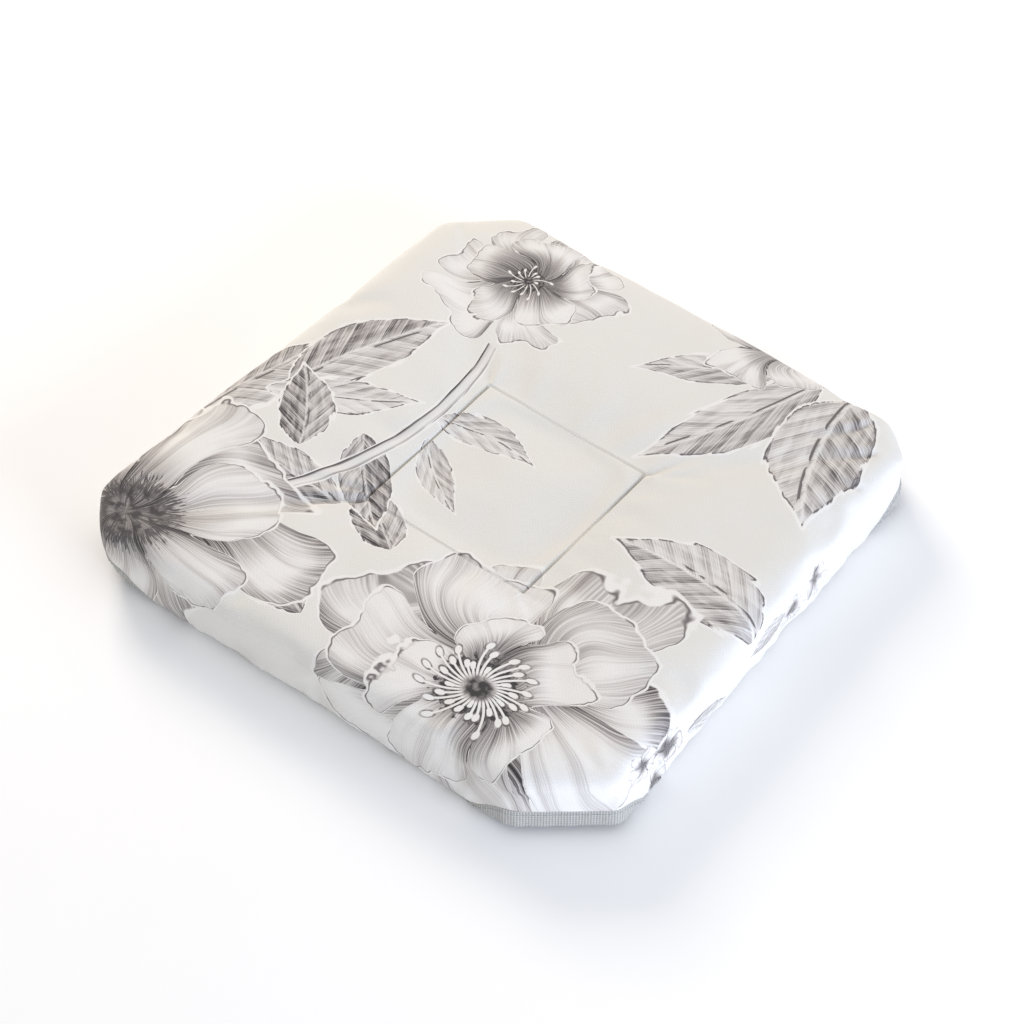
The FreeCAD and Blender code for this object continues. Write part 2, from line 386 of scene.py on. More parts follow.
# %% Smooth, subdivide and cut the net along the sewn square
def smooth_and_split(obj, rounds):
    """Even out small bumps, then divide every square in four along smooth curves."""
    for kind, settings in (("SMOOTH", {"factor": 0.5, "iterations": rounds}),
                           ("SUBSURF", {"levels": 1, "render_levels": 1})):
        modifier = obj.modifiers.new(kind, kind)
        for name, value in settings.items():
            setattr(modifier, name, value)
        select_only(obj)
        bpy.ops.object.modifier_apply(modifier=kind)


def cut_along_square(obj, offsets):
    """Cut the top's net along lines that run beside the four sides of the square."""
    mesh = bmesh.new()
    mesh.from_mesh(obj.data)
    middles = np.array([f.calc_center_median() for f in mesh.faces]) / MM
    near = (middles[:, 2] > 5) & (from_square(middles) < 6)
    band = [f for f, is_near in zip(mesh.faces, near) if is_near]
    band += list({e for f in band for e in f.edges}) + list({v for f in band for v in f.verts})
    for axis in (0, 1):
        for level in [side * (SQUARE / 2 + offset) for side in (-1, 1) for offset in offsets]:
            place, normal = Vector((0, SQUARE_Y, 0)), Vector()
            place[axis] += level
            normal[axis] = 1
            cut = bmesh.ops.bisect_plane(mesh, geom=band, plane_co=place * MM, plane_no=normal)
            band = cut["geom"]
    mesh.to_mesh(obj.data)
    mesh.free()


smooth_and_split(cover, 2)
cut_along_square(cover, (-1.4, 0, 1.4))
print("points after the cuts:", len(cover.data.vertices))

# %% [markdown]
# ## Creases, puckers and folds
#
# Stitches gather cloth. From each corner of the sewn square a fold runs out along the
# pull, the longest one at the front left, and the cover's own corners pucker where the
# elastic draws them in. Each fold is a ridge with a valley beside it, drawn as a line with
# a width and a height, and added to the swollen cloth.

# %% Shape the seam and the folds
# start, end, half width, and how far the cloth lifts beside the line and sinks along it
FOLDS = (
    ((-61, -67), (-98, -108), 5.0, 3.0, 3.4),
    ((-61, -60), (-118, -92), 6.5, 1.6, 2.2),
    ((-60, -67), (-72, -96), 4.0, 1.1, 1.5),
    ((61, 55), (88, 92), 5.0, 1.5, 2.0),
    ((61, 56), (104, 74), 5.5, 1.0, 1.4),
    ((61, -67), (86, -90), 5.0, 1.5, 2.0),
    ((61, -66), (96, -76), 5.0, 0.8, 1.2),
    ((-61, 55), (-84, 84), 5.0, 1.2, 1.6),
    ((176, 128), (138, 118), 6.0, 1.5, 2.2),
    ((168, 156), (132, 128), 7.0, 1.8, 2.6),
    ((150, 176), (124, 138), 6.0, 1.6, 2.4),
    ((-166, 160), (-140, 134), 6.0, 1.0, 1.5),
    ((-182, -150), (-150, -128), 7.0, 1.0, 1.4),
    ((182, -150), (152, -136), 7.0, 0.9, 1.3),
)


def fold_height(points):
    """The lift of all the folds at points of the top, in millimetres."""
    height = np.zeros(len(points))
    for start, end, width, lift, sink in FOLDS:
        start, line = np.array(start), np.array(end) - start
        length = math.hypot(*line)
        t = (points[:, :2] - start) @ line / length ** 2
        side = (points[:, :2] - start) @ np.array((line[1], -line[0])) / length
        side += 1.6 * np.sin(t * 5 + start[0])
        fade = np.clip(t / 0.12 + 0.4, 0, 1) * np.clip(1 - np.maximum(t, 0), 0, 1) ** 0.8
        spread = width * (0.6 + 0.9 * np.clip(t, 0, 1))
        height -= fade * sink * np.exp(-(side / spread * 1.7) ** 2)
        height += fade * lift * np.exp(-((side - spread) / spread * 1.2) ** 2)
    return height


def uneven(points, grain, seed):
    """Smooth random numbers, about -1 to 1, that change over some millimetres."""
    shift = Vector((seed, seed * 2.3, seed * 4.1))
    return np.array([noise.noise(Vector(p) / grain + shift) for p in points])


def shape_top(obj):
    """Add the folds and the unevenness to the swollen top, and pull the seam down."""
    spots = spots_of(obj)
    facing = np.array([v.normal for v in obj.data.vertices])
    beside = from_square(spots)
    free = np.minimum(beside / 6, 1)
    lift = free * (0.9 * uneven(spots, 55, 3) + 0.3 * uneven(spots, 17, 9))
    lift += (0.3 + 0.7 * free) * fold_height(spots)
    spots += facing * (lift * np.clip((spots[:, 2] - 4) / 8, 0, 1))[:, None]
    steep, soft = 1 - np.exp(-beside / 0.9), 1 - np.exp(-beside / 7)
    highest = SEAM_Z + 0.4 + 3.2 * steep + 5.2 * soft + beside * 0.12
    on_top = spots[:, 2] > 4
    spots[on_top, 2] = np.minimum(spots[on_top, 2], highest[on_top])
    place_spots(obj, spots)


shape_top(cover)
print("creased cloth, mm:", size_of(cover))

# %% [markdown]
# ## The gathered edge
#
# Elastic is sewn on stretched. When it is let go it shortens, and draws the cloth into
# small waves that are deepest at the tape and nearly gone halfway up the side. At the
# front left corner it draws the whole cloth in. The same waves move the tape and its
# stitches, so they are worked out once, from the place on the edge.

# %% Waves along the edge
# where the elastic draws the cloth in most, how far, and over what distance
TIGHT_CORNER, TIGHT_PULL, TIGHT_SIZE = np.array((-188, -178)), 7.0, 42
WAVES_END = -24  # the slide at which the waves are gone


def gather(points, slide):
    """How far the cloth stands out of its plain shape near the elastic, in millimetres."""
    level = np.column_stack((points[:, :2], np.zeros(len(points))))
    depth = np.clip((slide - WAVES_END) / 22, 0, 1)
    beside = np.hypot(*(points[:, :2] - TIGHT_CORNER).T) / TIGHT_SIZE
    return depth ** 2 * (1.0 * uneven(level, 13, 2) + 0.6 * uneven(level, 6.5, 5)
                         - TIGHT_PULL * np.exp(-beside ** 2))


def cloth_direction(out, slide):
    """The ways that the cloth faces, from its side to its curled hem."""
    turned = np.clip(slide / HEM_RADIUS, 0, math.pi / 2)
    return np.column_stack((out * np.cos(turned)[:, None], -np.sin(turned)))


def gather_edge(obj, top):
    """Add the waves to a piece of cloth, from where each of its points started."""
    spots = spots_of(obj)
    flat, slide, out, upright = unroll(starts_of(obj), top)
    near = (slide > WAVES_END) & (slide < 900)
    rim = spots[near]
    rim += cloth_direction(out[near], slide[near]) * gather(rim, slide[near])[:, None]
    spots[near] = rim
    place_spots(obj, spots)


gather_edge(cover, START_TOP)

# %% [markdown]
# ## Trimming the hem and laying out the print
#
# The cloth ends a few millimetres inside the tape that binds it, so the faces past that
# line are cut away, and the opening under the seat with them. Each corner of each face
# then gets its place on the flat cloth, in metres, as a UV map. Last, the sheet is given
# the thickness of canvas.

# %% Cut the opening, unroll the print and give the cloth its thickness
UNDER_TAPE = 3.0
CANVAS_THICKNESS = 0.6


def trim_and_unroll(obj, top):
    """Cut a dressed block down to its sheet of cloth, and map it to the flat cloth."""
    flat, slide, out, upright = unroll(starts_of(obj), top)
    loose = slide > tape_slide(upright) - TAPE_WIDTH / 2 + UNDER_TAPE
    corners = np.empty(len(obj.data.loops), dtype=int)
    obj.data.loops.foreach_get("vertex_index", corners)
    layer = obj.data.uv_layers.new(name="flat cloth")
    layer.data.foreach_set("uv", (flat[corners] * MM).ravel())
    obj.data.attributes.remove(obj.data.attributes["start"])
    mesh = bmesh.new()
    mesh.from_mesh(obj.data)
    bmesh.ops.delete(mesh, geom=[v for v, cut in zip(mesh.verts, loose) if cut], context="VERTS")
    for face in mesh.faces:
        face.smooth = True
    mesh.to_mesh(obj.data)
    mesh.free()


def thicken(obj, thickness):
    """Give a sheet of cloth its thickness, inwards."""
    modifier = obj.modifiers.new("Solidify", "SOLIDIFY")
    modifier.thickness = thickness * MM
    modifier.offset = -1
    select_only(obj)
    bpy.ops.object.modifier_apply(modifier="Solidify")


trim_and_unroll(cover, START_TOP)
cover_sheet = cover.data.copy()
thicken(cover, CANVAS_THICKNESS)
print("cover, mm:", size_of(cover), "faces:", len(cover.data.polygons))

# %% [markdown]
# ## The elastic tape
#
# One strip of ribbed elastic is folded over the raw edges of both cloths, all the way
# round. It starts as a flat grid, as long as the edge. Its rows become the places round
# the edge, and its columns the folded section: down the outer face, round the fold, and
# back up the inner face. The two ends of the grid then meet and are merged.

# %% Places round the edge
TURN_STEPS, SIDE_STEPS = 24, 60


def edge_stations(count):
    """Even places round the outline: points, the ways out, the tape's turn, and the length."""
    points, ways = [], []
    for i, corner in enumerate(CORE):
        before = (corner - CORE[i - 1]).normalized()
        after = (CORE[(i + 1) % 8] - corner).normalized()
        first = Vector((before.y, -before.x, 0))
        turn = before.angle(after)
        pieces = [(corner, Matrix.Rotation(turn * step / TURN_STEPS, 3, "Z") @ first)
                  for step in range(TURN_STEPS)]
        last = Vector((after.y, -after.x, 0))
        along = CORE[(i + 1) % 8] - corner
        pieces += [(corner + along * step / SIDE_STEPS, last) for step in range(SIDE_STEPS)]
        for foot, way in pieces:
            points.append((foot + way * CORNER_RADIUS)[:2])
            ways.append(way[:2])
    points, ways = np.array(points + points[:1]), np.array(ways + ways[:1])
    travelled = np.append(0, np.cumsum(np.linalg.norm(np.diff(points, axis=0), axis=1)))
    wanted = travelled[-1] * np.arange(count) / count
    even = [np.interp(wanted, travelled, column) for column in (*points.T, *ways.T)]
    points, ways = np.column_stack(even[:2]), np.column_stack(even[2:])
    ways /= np.linalg.norm(ways, axis=1, keepdims=True)
    return points, ways, how_upright(points), travelled[-1]


def on_cloth(points, out, slide, layer):
    """Places on the side or the hem, at a depth below the cover's face, with the waves."""
    depth = layer - gather(points, slide)
    radius = HEM_RADIUS - depth
    turned = np.clip(slide / HEM_RADIUS, 0, math.pi / 2)
    past = np.maximum(slide - HEM_RADIUS * math.pi / 2, 0)
    inward = depth + radius * (1 - np.cos(turned)) + past
    z = HEM + HEM_RADIUS - radius * np.sin(turned) - np.minimum(slide, 0)
    return np.column_stack((points - out * inward[:, None], z))


TAPE_COUNT = 900
EDGE_POINTS, EDGE_OUT, EDGE_UPRIGHT, EDGE_LENGTH = edge_stations(TAPE_COUNT)
print("length round the edge, mm:", round(EDGE_LENGTH))

# %% [markdown]
# The section is a list of places across the tape, each with its depth behind the cover's
# face, so a place with a depth below zero stands out of the cloth.

# %% Fold the strip over the edges of the cloths
# across the tape from its middle, and the depth below the cover's face
TAPE_SECTION = [(-8, 0.05), (-7.8, -0.3), (-6.5, -0.35), (-3, -0.35), (1, -0.35), (5, -0.3),
                (7.2, -0.1), (7.9, 0.5), (8, 1.05), (7.9, 1.6), (7.2, 2.2), (5, 2.4),
                (1, 2.45), (-3, 2.45), (-6.5, 2.45), (-7.8, 2.4), (-8, 2.05), (-8, 0.05)]


def fold_strip(name, section):
    """A strip round the whole edge with a folded section, mapped along and across in metres."""
    bpy.ops.object.select_all(action="DESELECT")
    bpy.ops.mesh.primitive_grid_add(x_subdivisions=TAPE_COUNT,
                                    y_subdivisions=len(section) - 1, size=2)
    strip = bpy.context.object
    strip.name = name
    grid = (spots_of(strip)[:, :2] * MM + 1) / 2
    row = np.rint(grid[:, 0] * TAPE_COUNT).astype(int)
    column = np.rint(grid[:, 1] * (len(section) - 1)).astype(int)
    section = np.array(section)
    across = np.append(0, np.cumsum(np.hypot(*np.diff(section, axis=0).T)))
    uv = np.column_stack((row / TAPE_COUNT * EDGE_LENGTH, across[column])) * MM
    corners = np.empty(len(strip.data.loops), dtype=int)
    strip.data.loops.foreach_get("vertex_index", corners)
    strip.data.uv_layers[0].name = "along the tape"
    strip.data.uv_layers[0].data.foreach_set("uv", uv[corners].ravel())
    row %= TAPE_COUNT
    slide = tape_slide(EDGE_UPRIGHT[row]) + section[column, 0]
    place_spots(strip, on_cloth(EDGE_POINTS[row], EDGE_OUT[row], slide, section[column, 1]))
    bpy.ops.object.mode_set(mode="EDIT")
    bpy.ops.mesh.select_all(action="SELECT")
    bpy.ops.mesh.remove_doubles(threshold=0.02 * MM)
    bpy.ops.mesh.normals_make_consistent(inside=False)
    bpy.ops.mesh.faces_shade_smooth()
    bpy.ops.object.mode_set(mode="OBJECT")
    return strip


tape = fold_strip("elastic_tape_ribbed", TAPE_SECTION)
print("tape, mm:", size_of(tape))

# %% [markdown]
# ## Stitches
#
# A lockstitch shows as a short raised grain of thread, then a dip where it goes into the
# cloth. One grain is modelled from a small sphere and copied along each seam. The copies
# of one seam are one mesh, because nobody picks up a single stitch.

# %% One stitch, and a way to sew with it
def stitch_shape(length, width):
    """A small grain of thread along X, with few faces."""
    bpy.ops.object.select_all(action="DESELECT")
    bpy.ops.mesh.primitive_uv_sphere_add(segments=6, ring_count=5, radius=0.5)
    grain = bpy.context.object
    bpy.ops.transform.rotate(value=math.pi / 2, orient_axis="Y", center_override=(0, 0, 0))
    bpy.ops.object.transform_apply()
    for vertex in grain.data.vertices:
        swell_out = max(1 - (2 * abs(vertex.co.x)) ** 3, 0.35) if abs(vertex.co.x) < 0.49 else 1
        vertex.co = Vector((vertex.co.x * length, vertex.co.y * width * swell_out ** 0.2,
                            vertex.co.z * width * 0.8)) * MM
    return grain


def sew(name, length, width, places):
    """Copy a stitch to each place: a middle, the way it runs, and the way that it faces."""
    grain = stitch_shape(length, width)
    points, faces = [], []
    for middle, along, up in places:
        turn = Matrix((along, up.cross(along), up)).transposed()
        first = len(points)
        points.extend(turn @ v.co + middle * MM for v in grain.data.vertices)
        faces.extend([first + i for i in p.vertices] for p in grain.data.polygons)
    row = bpy.data.meshes.new(name)
    row.from_pydata(points, [], faces)
    row.polygons.foreach_set("use_smooth", [True] * len(row.polygons))
    bpy.data.objects.remove(grain)
    sewn = bpy.data.objects.new(name, row)
    scene.collection.objects.link(sewn)
    print(name, "stitches:", len(places), "mm:", size_of(sewn))
    return sewn


# %% [markdown]
# Two rows hold the tape, one seen on its outer face and one on its inner face. Both
# follow the same places along the edge, so they are made by one function.

# %% Sew the tape on, outside and inside
STITCH_PITCH = 3.2
SEAM_FROM_EDGE = 2.9


def tape_row(layer, facing):
    """Places for a row of stitches along the tape, on its outer or its inner face."""
    points, out, upright, length = edge_stations(round(EDGE_LENGTH / STITCH_PITCH))
    slide = tape_slide(upright) - TAPE_WIDTH / 2 + SEAM_FROM_EDGE
    here = on_cloth(points, out, slide, np.full(len(points), layer))
    there = np.roll(here, -1, axis=0)
    up = cloth_direction(out, slide) * facing
    places = []
    for start, end, face in zip(here, there, up):
        along = (Vector(end) - Vector(start)).normalized()
        face = Vector(face)
        face = (face - along * face.dot(along)).normalized()
        places.append(((Vector(start) + Vector(end)) / 2, along, face))
    return places


outer_row = sew("tape_stitches_outside", 2.7, 0.7, tape_row(-0.5, 1))
inner_row = sew("tape_stitches_inside", 2.7, 0.7, tape_row(2.6, -1))

# %% [markdown]
# The square's thread lies at the bottom of the crease on top, and in a shallow groove of
# the lining below, so that it never touches the seat.

# %% Sew the square, above and below
def square_row(z, facing, pitch=3.1):
    """Places for stitches round the sewn square, at one height."""
    places = []
    count = round(SQUARE / pitch)
    for turn in range(4):
        side = Matrix.Rotation(turn * math.pi / 2, 3, "Z")
        for i in range(count):
            spot = Vector(((i + 0.5) * SQUARE / count - SQUARE / 2, -SQUARE / 2, 0))
            middle = side @ spot + Vector((0, SQUARE_Y, z))
            places.append((middle, side @ Vector((1, 0, 0)), Vector((0, 0, facing))))
    return places


UNDER_SEAM_Z = 1.25
top_row = sew("square_stitches_top", 2.5, 0.5, square_row(SEAM_Z + 0.5, 1))
under_row = sew("square_stitches_under", 2.6, 0.7, square_row(UNDER_SEAM_Z, -1))

# %% [markdown]
# ## Keeping the inner pieces inside
#
# Two cloths of different nets that lie a millimetre apart can cross where they wave. So
# each point of an inner piece looks for the nearest place on the cover, and is moved in
# where it lies too close behind it.

# %% Keep inner pieces behind the cover
cover_face = BVHTree.FromPolygons([v.co for v in cover_sheet.vertices],
                                  [p.vertices for p in cover_sheet.polygons])


def stay_inside(obj, room):
    """Move a piece's points in until each lies this far behind the cover's face."""
    moved = 0
    for vertex in obj.data.vertices:
        nearest, normal, face, distance = cover_face.find_nearest(vertex.co)
        short = room * MM + (vertex.co - nearest).dot(normal)
        if short > 0 and distance < 5 * MM:
            vertex.co -= normal * short
            moved += 1
    print(obj.name, "points moved in:", moved)


# %% [markdown]
# ## The lining
#
# The lining is plain cotton that lies on the seat and turns down inside the printed
# cover, into the same tape. It is dressed over a lower block, a little smaller than the
# cover's. The seat presses it flat, so it needs no simulation, only a trace of
# unevenness, and the shallow groove that the square's stitches pull into it.

# %% Dress, groove and trim the lining
LINING_INSET, LINING_TOP, LINING_THICKNESS = 1.75, 0.8, 0.5

lining = seat_block("lining_cloth", LINING_INSET, HEM + LINING_INSET, LINING_TOP,
                    2.0, HEM_RADIUS - LINING_INSET)
select_only(lining)
lining.data.remesh_voxel_size = 5.2 * MM
bpy.ops.object.voxel_remesh()
remember(lining)
smooth_and_split(lining, 1)
spots = spots_of(lining)
on_seat = spots[:, 2] > -1
groove = np.clip(1 - from_square(spots) / 4.5, 0, 1)
lift = 0.25 * np.abs(uneven(spots, 30, 4)) + 2.4 * groove * groove * (3 - 2 * groove)
spots[:, 2] = np.where(on_seat, LINING_TOP + lift, spots[:, 2])
place_spots(lining, spots)
gather_edge(lining, LINING_TOP + TOP_RADIUS)
trim_and_unroll(lining, LINING_TOP + TOP_RADIUS)
stay_inside(lining, 1.1)
lining_area = sum(p.area for p in lining.data.polygons)
thicken(lining, LINING_THICKNESS)
print("lining, mm:", size_of(lining), "one side, square metres:", round(lining_area, 3))

# %% [markdown]
# ## The wadding
#
# A thin sheet of polyester wadding lies between the printed cloth and the foam, and makes
# the top look soft. It takes the shape of the cloth above it, so it starts as a copy of
# the cover's top, a little lower, thinned to fewer faces and thickened downwards. The
# sides are cut away, and so is the strip along the square, where the stitches press the
# wadding to nothing.

# %% Copy the cover's top for the wadding
BEHIND_COVER, PRESSED_STRIP, WADDING_THICKNESS = 1.5, 3.8, 2.8

wadding = bpy.data.objects.new("wadding_sheet", cover_sheet)
scene.collection.objects.link(wadding)
facing = np.array([v.normal for v in wadding.data.vertices])
spots = spots_of(wadding)
place_spots(wadding, spots - facing * BEHIND_COVER)
mesh = bmesh.new()
mesh.from_mesh(wadding.data)
beside = from_square(spots)
low = (spots[:, 2] < 14.5) & (facing[:, 2] < 0.75) & (beside > 15) | (beside < PRESSED_STRIP)
low = [v for v, is_low in zip(mesh.verts, low) if is_low]
bmesh.ops.delete(mesh, geom=low, context="VERTS")
mesh.to_mesh(wadding.data)
mesh.free()
modifier = wadding.modifiers.new("Decimate", "DECIMATE")
modifier.ratio = 0.25
select_only(wadding)
bpy.ops.object.modifier_apply(modifier="Decimate")
stay_inside(wadding, 1.3)
thicken(wadding, WADDING_THICKNESS)
print("wadding, mm:", size_of(wadding), "faces:", len(wadding.data.polygons))

# %% [markdown]
# ## The foam
#
# The core is a slab of polyurethane foam cut to the seat's shape. The stitches squeeze it
# along the square. Its block is remeshed, and each point of its top is then laid just
# below the wadding, found by looking straight up from it.

# %% Cut the foam and press it under the wadding
FOAM_INSET, FOAM_LOW, FOAM_HIGH = 6.5, 1.2, 15.0
PRESSED_FROM = 6  # the foam above this height is pressed down under the wadding

foam = seat_block("foam_slab", FOAM_INSET, FOAM_LOW, FOAM_HIGH, 4.0, 1.5)
select_only(foam)
foam.data.remesh_voxel_size = 4.5 * MM
bpy.ops.object.voxel_remesh()
wadding_tree = BVHTree.FromPolygons([v.co for v in wadding.data.vertices],
                                    [p.vertices for p in wadding.data.polygons])
for vertex in foam.data.vertices:
    if vertex.co.z > PRESSED_FROM * MM:
        below = vertex.co - Vector((0, 0, 5 * MM))
        above = wadding_tree.ray_cast(below, Vector((0, 0, 1)))[0]
        roof = above.z - 0.7 * MM if above else 12.5 * MM
        part = (vertex.co.z / MM - PRESSED_FROM) / (FOAM_HIGH - PRESSED_FROM)
        vertex.co.z = min(vertex.co.z, PRESSED_FROM * MM + part * (roof - PRESSED_FROM * MM))
    elif vertex.co.z < 3 * MM:
        beside = from_square(np.array([vertex.co]) / MM)[0]
        vertex.co.z += max(0, 1 - beside / 6.5) ** 0.7 * 3.2 * MM
select_only(foam)
bpy.ops.object.shade_smooth()
print("foam, mm:", size_of(foam))

# %% [markdown]
# ## The small pieces below
#
# A blank satin label is stitched to the lining by its two short ends, and bows down a
# little between them. Two bar tacks hold the lapped ends of the tape: each is a short
# zigzag sewn so close that it reads as a bar.

# %% The label, its stitches and the tape's bar tacks
LABEL_PLACE, LABEL_SIZE = (70.0, 150.0), (32.0, 18.0)

bpy.ops.object.select_all(action="DESELECT")
bpy.ops.mesh.primitive_grid_add(x_subdivisions=32, y_subdivisions=18, size=1)
label = bpy.context.object
label.name = "label_blank"
spots = spots_of(label) * MM
bow = np.cos(spots[:, 0] * math.pi) * (0.8 + 0.2 * np.sin(spots[:, 1] * 5))
place_spots(label, np.column_stack((LABEL_PLACE[0] + spots[:, 0] * LABEL_SIZE[0],
                                    LABEL_PLACE[1] + spots[:, 1] * LABEL_SIZE[1],
                                    -0.15 - 0.35 * bow)))
thicken(label, 0.18)
bpy.ops.object.shade_smooth()

label_rows = []
for side in (-1, 1):
    for i in range(6):
        spot = Vector((LABEL_PLACE[0] + side * 14, LABEL_PLACE[1] + (i - 2.5) * 2.7, -0.55))
        label_rows.append((spot, Vector((0, 1, 0)), Vector((0, 0, -1))))
label_thread = sew("label_stitches", 2.2, 0.45, label_rows)

tack_rows = []
for x in (-7, 7):
    for i in range(16):
        spot = Vector((x, 166.4 + i * 0.75, HEM + 2.75))
        slant = Vector((1, 0.28 * (-1) ** i, 0)).normalized()
        tack_rows.append((spot, slant, Vector((0, 0, 1))))
tacks = sew("tape_bar_tacks", 2.0, 0.7, tack_rows)
print("label, mm:", size_of(label))

# %% [markdown]
# ## Materials, and one helper for their nodes
#
# Every finish here is woven, spun or foamed, so every one is rough and has a bump that
# comes from its threads or its pores. Colours are given as on the web and turned to the
# linear values that the shaders use. One function adds a node with its settings, and
# links whatever nodes it is given. The patterns are laid out in millimetres: places come
# in metres, so they are multiplied by a thousand first.

# %% Colours, nodes and the start of a material
def linear(hex_colour):
    """A web colour as the linear values that the shaders use."""
    channels = [int(hex_colour[i:i + 2], 16) / 255 for i in (1, 3, 5)]
    return [c / 12.92 if c <= 0.04045 else ((c + 0.055) / 1.055) ** 2.4 for c in channels] + [1]


def add(tree, kind, inputs=(), **settings):
    """Add a node. A node or socket given as an input is linked, anything else is its value."""
    node = tree.nodes.new(kind if kind.startswith("Node") else "ShaderNode" + kind)
    for name, value in settings.items():
        setattr(node, name, value)
    for key, value in inputs.items() if isinstance(inputs, dict) else enumerate(inputs):
        if isinstance(value, bpy.types.Node):
            value = next(s for s in value.outputs if s.enabled)
        if isinstance(value, bpy.types.NodeSocket):
            tree.links.new(value, node.inputs[key])
        elif value is not None:
            node.inputs[key].default_value = value
    return node


def start_material(name, map_name=None):
    """A new material, its shader, and the place on the piece in millimetres."""
    material = bpy.data.materials.new(name)
    material.use_nodes = True
    tree = material.node_tree
    tree.nodes.clear()
    shader = add(tree, "BsdfPrincipled")
    add(tree, "OutputMaterial", (shader,))
    if map_name:
        where = add(tree, "UVMap", uv_map=map_name)
    else:
        where = add(tree, "TexCoord").outputs["Object"]
    place = add(tree, "VectorMath", (where, (1000.0, 1000.0, 1000.0)), operation="MULTIPLY")
    return material, tree, shader, place


def give(material, *objects):
    """Put one material on whole pieces."""
    for obj in objects:
        obj.data.materials.clear()
        obj.data.materials.append(material)


# %% [markdown]
# ### The end of a material
#
# Every material here ends in the same way: a colour, a bump with its depth in
# millimetres, a roughness, and some sheen where there are loose fibres.

# %% Colour, bump, roughness and sheen
def finish_material(tree, shader, colour, height, bump, roughness, sheen=0.0):
    """Link a colour and a bump, given as its strength and its depth, to the shader."""
    strength, depth = bump
    raised = add(tree, "Bump", {"Height": height, "Strength": strength, "Distance": depth * MM})
    tree.links.new(colour, shader.inputs["Base Color"])
    tree.links.new(raised.outputs[0], shader.inputs["Normal"])
    shader.inputs["Roughness"].default_value = roughness
    shader.inputs["Sheen Weight"].default_value = sheen


# %% [markdown]
# ### Plain weave
#
# Canvas and lining are plain weave: each thread goes over one and under the next. Seen as
# heights, that is a row of rounded threads one way and a row the other way, and the
# higher of the two shows. A little noise makes the threads uneven, as spun cotton is.

# %% The height of a plain weave
def plain_weave(tree, place, across, along):
    """The height of a weave whose threads have these spacings in millimetres."""
    wobble = add(tree, "TexNoise", {"Vector": place, "Scale": 0.12, "Detail": 2.0},
                 noise_dimensions="2D")
    bent = add(tree, "VectorMath", (wobble.outputs["Color"], (1.2, 1.2, 0.0), place),
               operation="MULTIPLY_ADD")
    turns = add(tree, "VectorMath", (bent, (math.pi / across, math.pi / along, 0.0)),
                operation="MULTIPLY")
    split = add(tree, "SeparateXYZ", (turns,))
    warp = add(tree, "Math", (split.outputs[0],), operation="SINE")
    weft = add(tree, "Math", (split.outputs[1],), operation="SINE")
    crossing = add(tree, "Math", (warp, weft), operation="MULTIPLY")
    rib = add(tree, "Math", (weft, weft), operation="MULTIPLY")
    height = add(tree, "Math", (crossing, 0.35, rib), operation="MULTIPLY_ADD")
    return height, wobble


# %% [markdown]
# ### Lining, wadding and foam
#
# The lining is undyed plain-weave cotton, matt and slightly warm, with painted shade that
# makes the hollows of its weave a little darker. Wadding is carded polyester: white fibres
# that lie every way, with a soft sheen. Foam is open-cell polyurethane, cream, with round
# pores a millimetre or so across, whose real cells are a third of that, drawn coarser so
# that they show. Painted shade makes the pores darker than the walls between them.

# %% Plain cotton lining
lining_cotton, tree, shader, place = start_material("undyed plain weave cotton")
height, wobble = plain_weave(tree, place, 1.0, 1.0)
# painted shade: the cotton is darker where the weave is low
tint = add(tree, "Mix", {0: height, 6: linear("#DAD6CD"), 7: linear("#E8E5DD")}, data_type="RGBA")
cloudy = add(tree, "Mix", {0: wobble.outputs["Fac"], 6: linear("#F2EFEA"), 7: linear("#FFFFFF")},
             data_type="RGBA")
both = add(tree, "Mix", {0: 1.0, 6: tint.outputs[2], 7: cloudy.outputs[2]},
           data_type="RGBA", blend_type="MULTIPLY")
finish_material(tree, shader, both.outputs[2], height, (0.5, 0.12), 0.92, 0.08)
give(lining_cotton, lining)

# %% Polyester wadding
wadding_fibre, tree, shader, place = start_material("carded polyester wadding")
tangle = add(tree, "TexNoise", {"Vector": place, "Scale": 0.5, "Detail": 5.0, "Distortion": 2.5})
fibres = add(tree, "TexNoise", {"Vector": place, "Scale": 1.4, "Detail": 3.0, "Distortion": 6.0})
mixed = add(tree, "Math", (tangle, fibres), operation="MULTIPLY")
colour = add(tree, "MapRange", (mixed, 0.1, 0.5, 0.0, 1.0))
tint = add(tree, "Mix", {0: colour, 6: linear("#DADCDD"), 7: linear("#FAFAFA")}, data_type="RGBA")
finish_material(tree, shader, tint.outputs[2], mixed, (0.7, 1.2), 0.85, 0.3)
give(wadding_fibre, wadding)

# %% Polyurethane foam
foam_cells, tree, shader, place = start_material("open cell polyurethane foam")
cells = add(tree, "TexVoronoi", {"Vector": place, "Scale": 0.8})
coarse = add(tree, "TexNoise", {"Vector": place, "Scale": 0.06, "Detail": 2.0})
pores = add(tree, "MapRange", (cells.outputs["Distance"], 0.1, 0.5, 0.0, 1.0))
# painted shade: the pores are darker than the walls between them
walls = add(tree, "Mix", {0: pores, 6: linear("#C9BE98"), 7: linear("#F1E9CB")}, data_type="RGBA")
aged = add(tree, "Mix", {0: coarse, 6: linear("#FFFFFF"), 7: linear("#E9DDBB")}, data_type="RGBA")
both = add(tree, "Mix", {0: 0.5, 6: walls.outputs[2], 7: aged.outputs[2]},
           data_type="RGBA", blend_type="MULTIPLY")
finish_material(tree, shader, both.outputs[2], pores, (0.6, 0.5), 0.95)
give(foam_cells, foam)
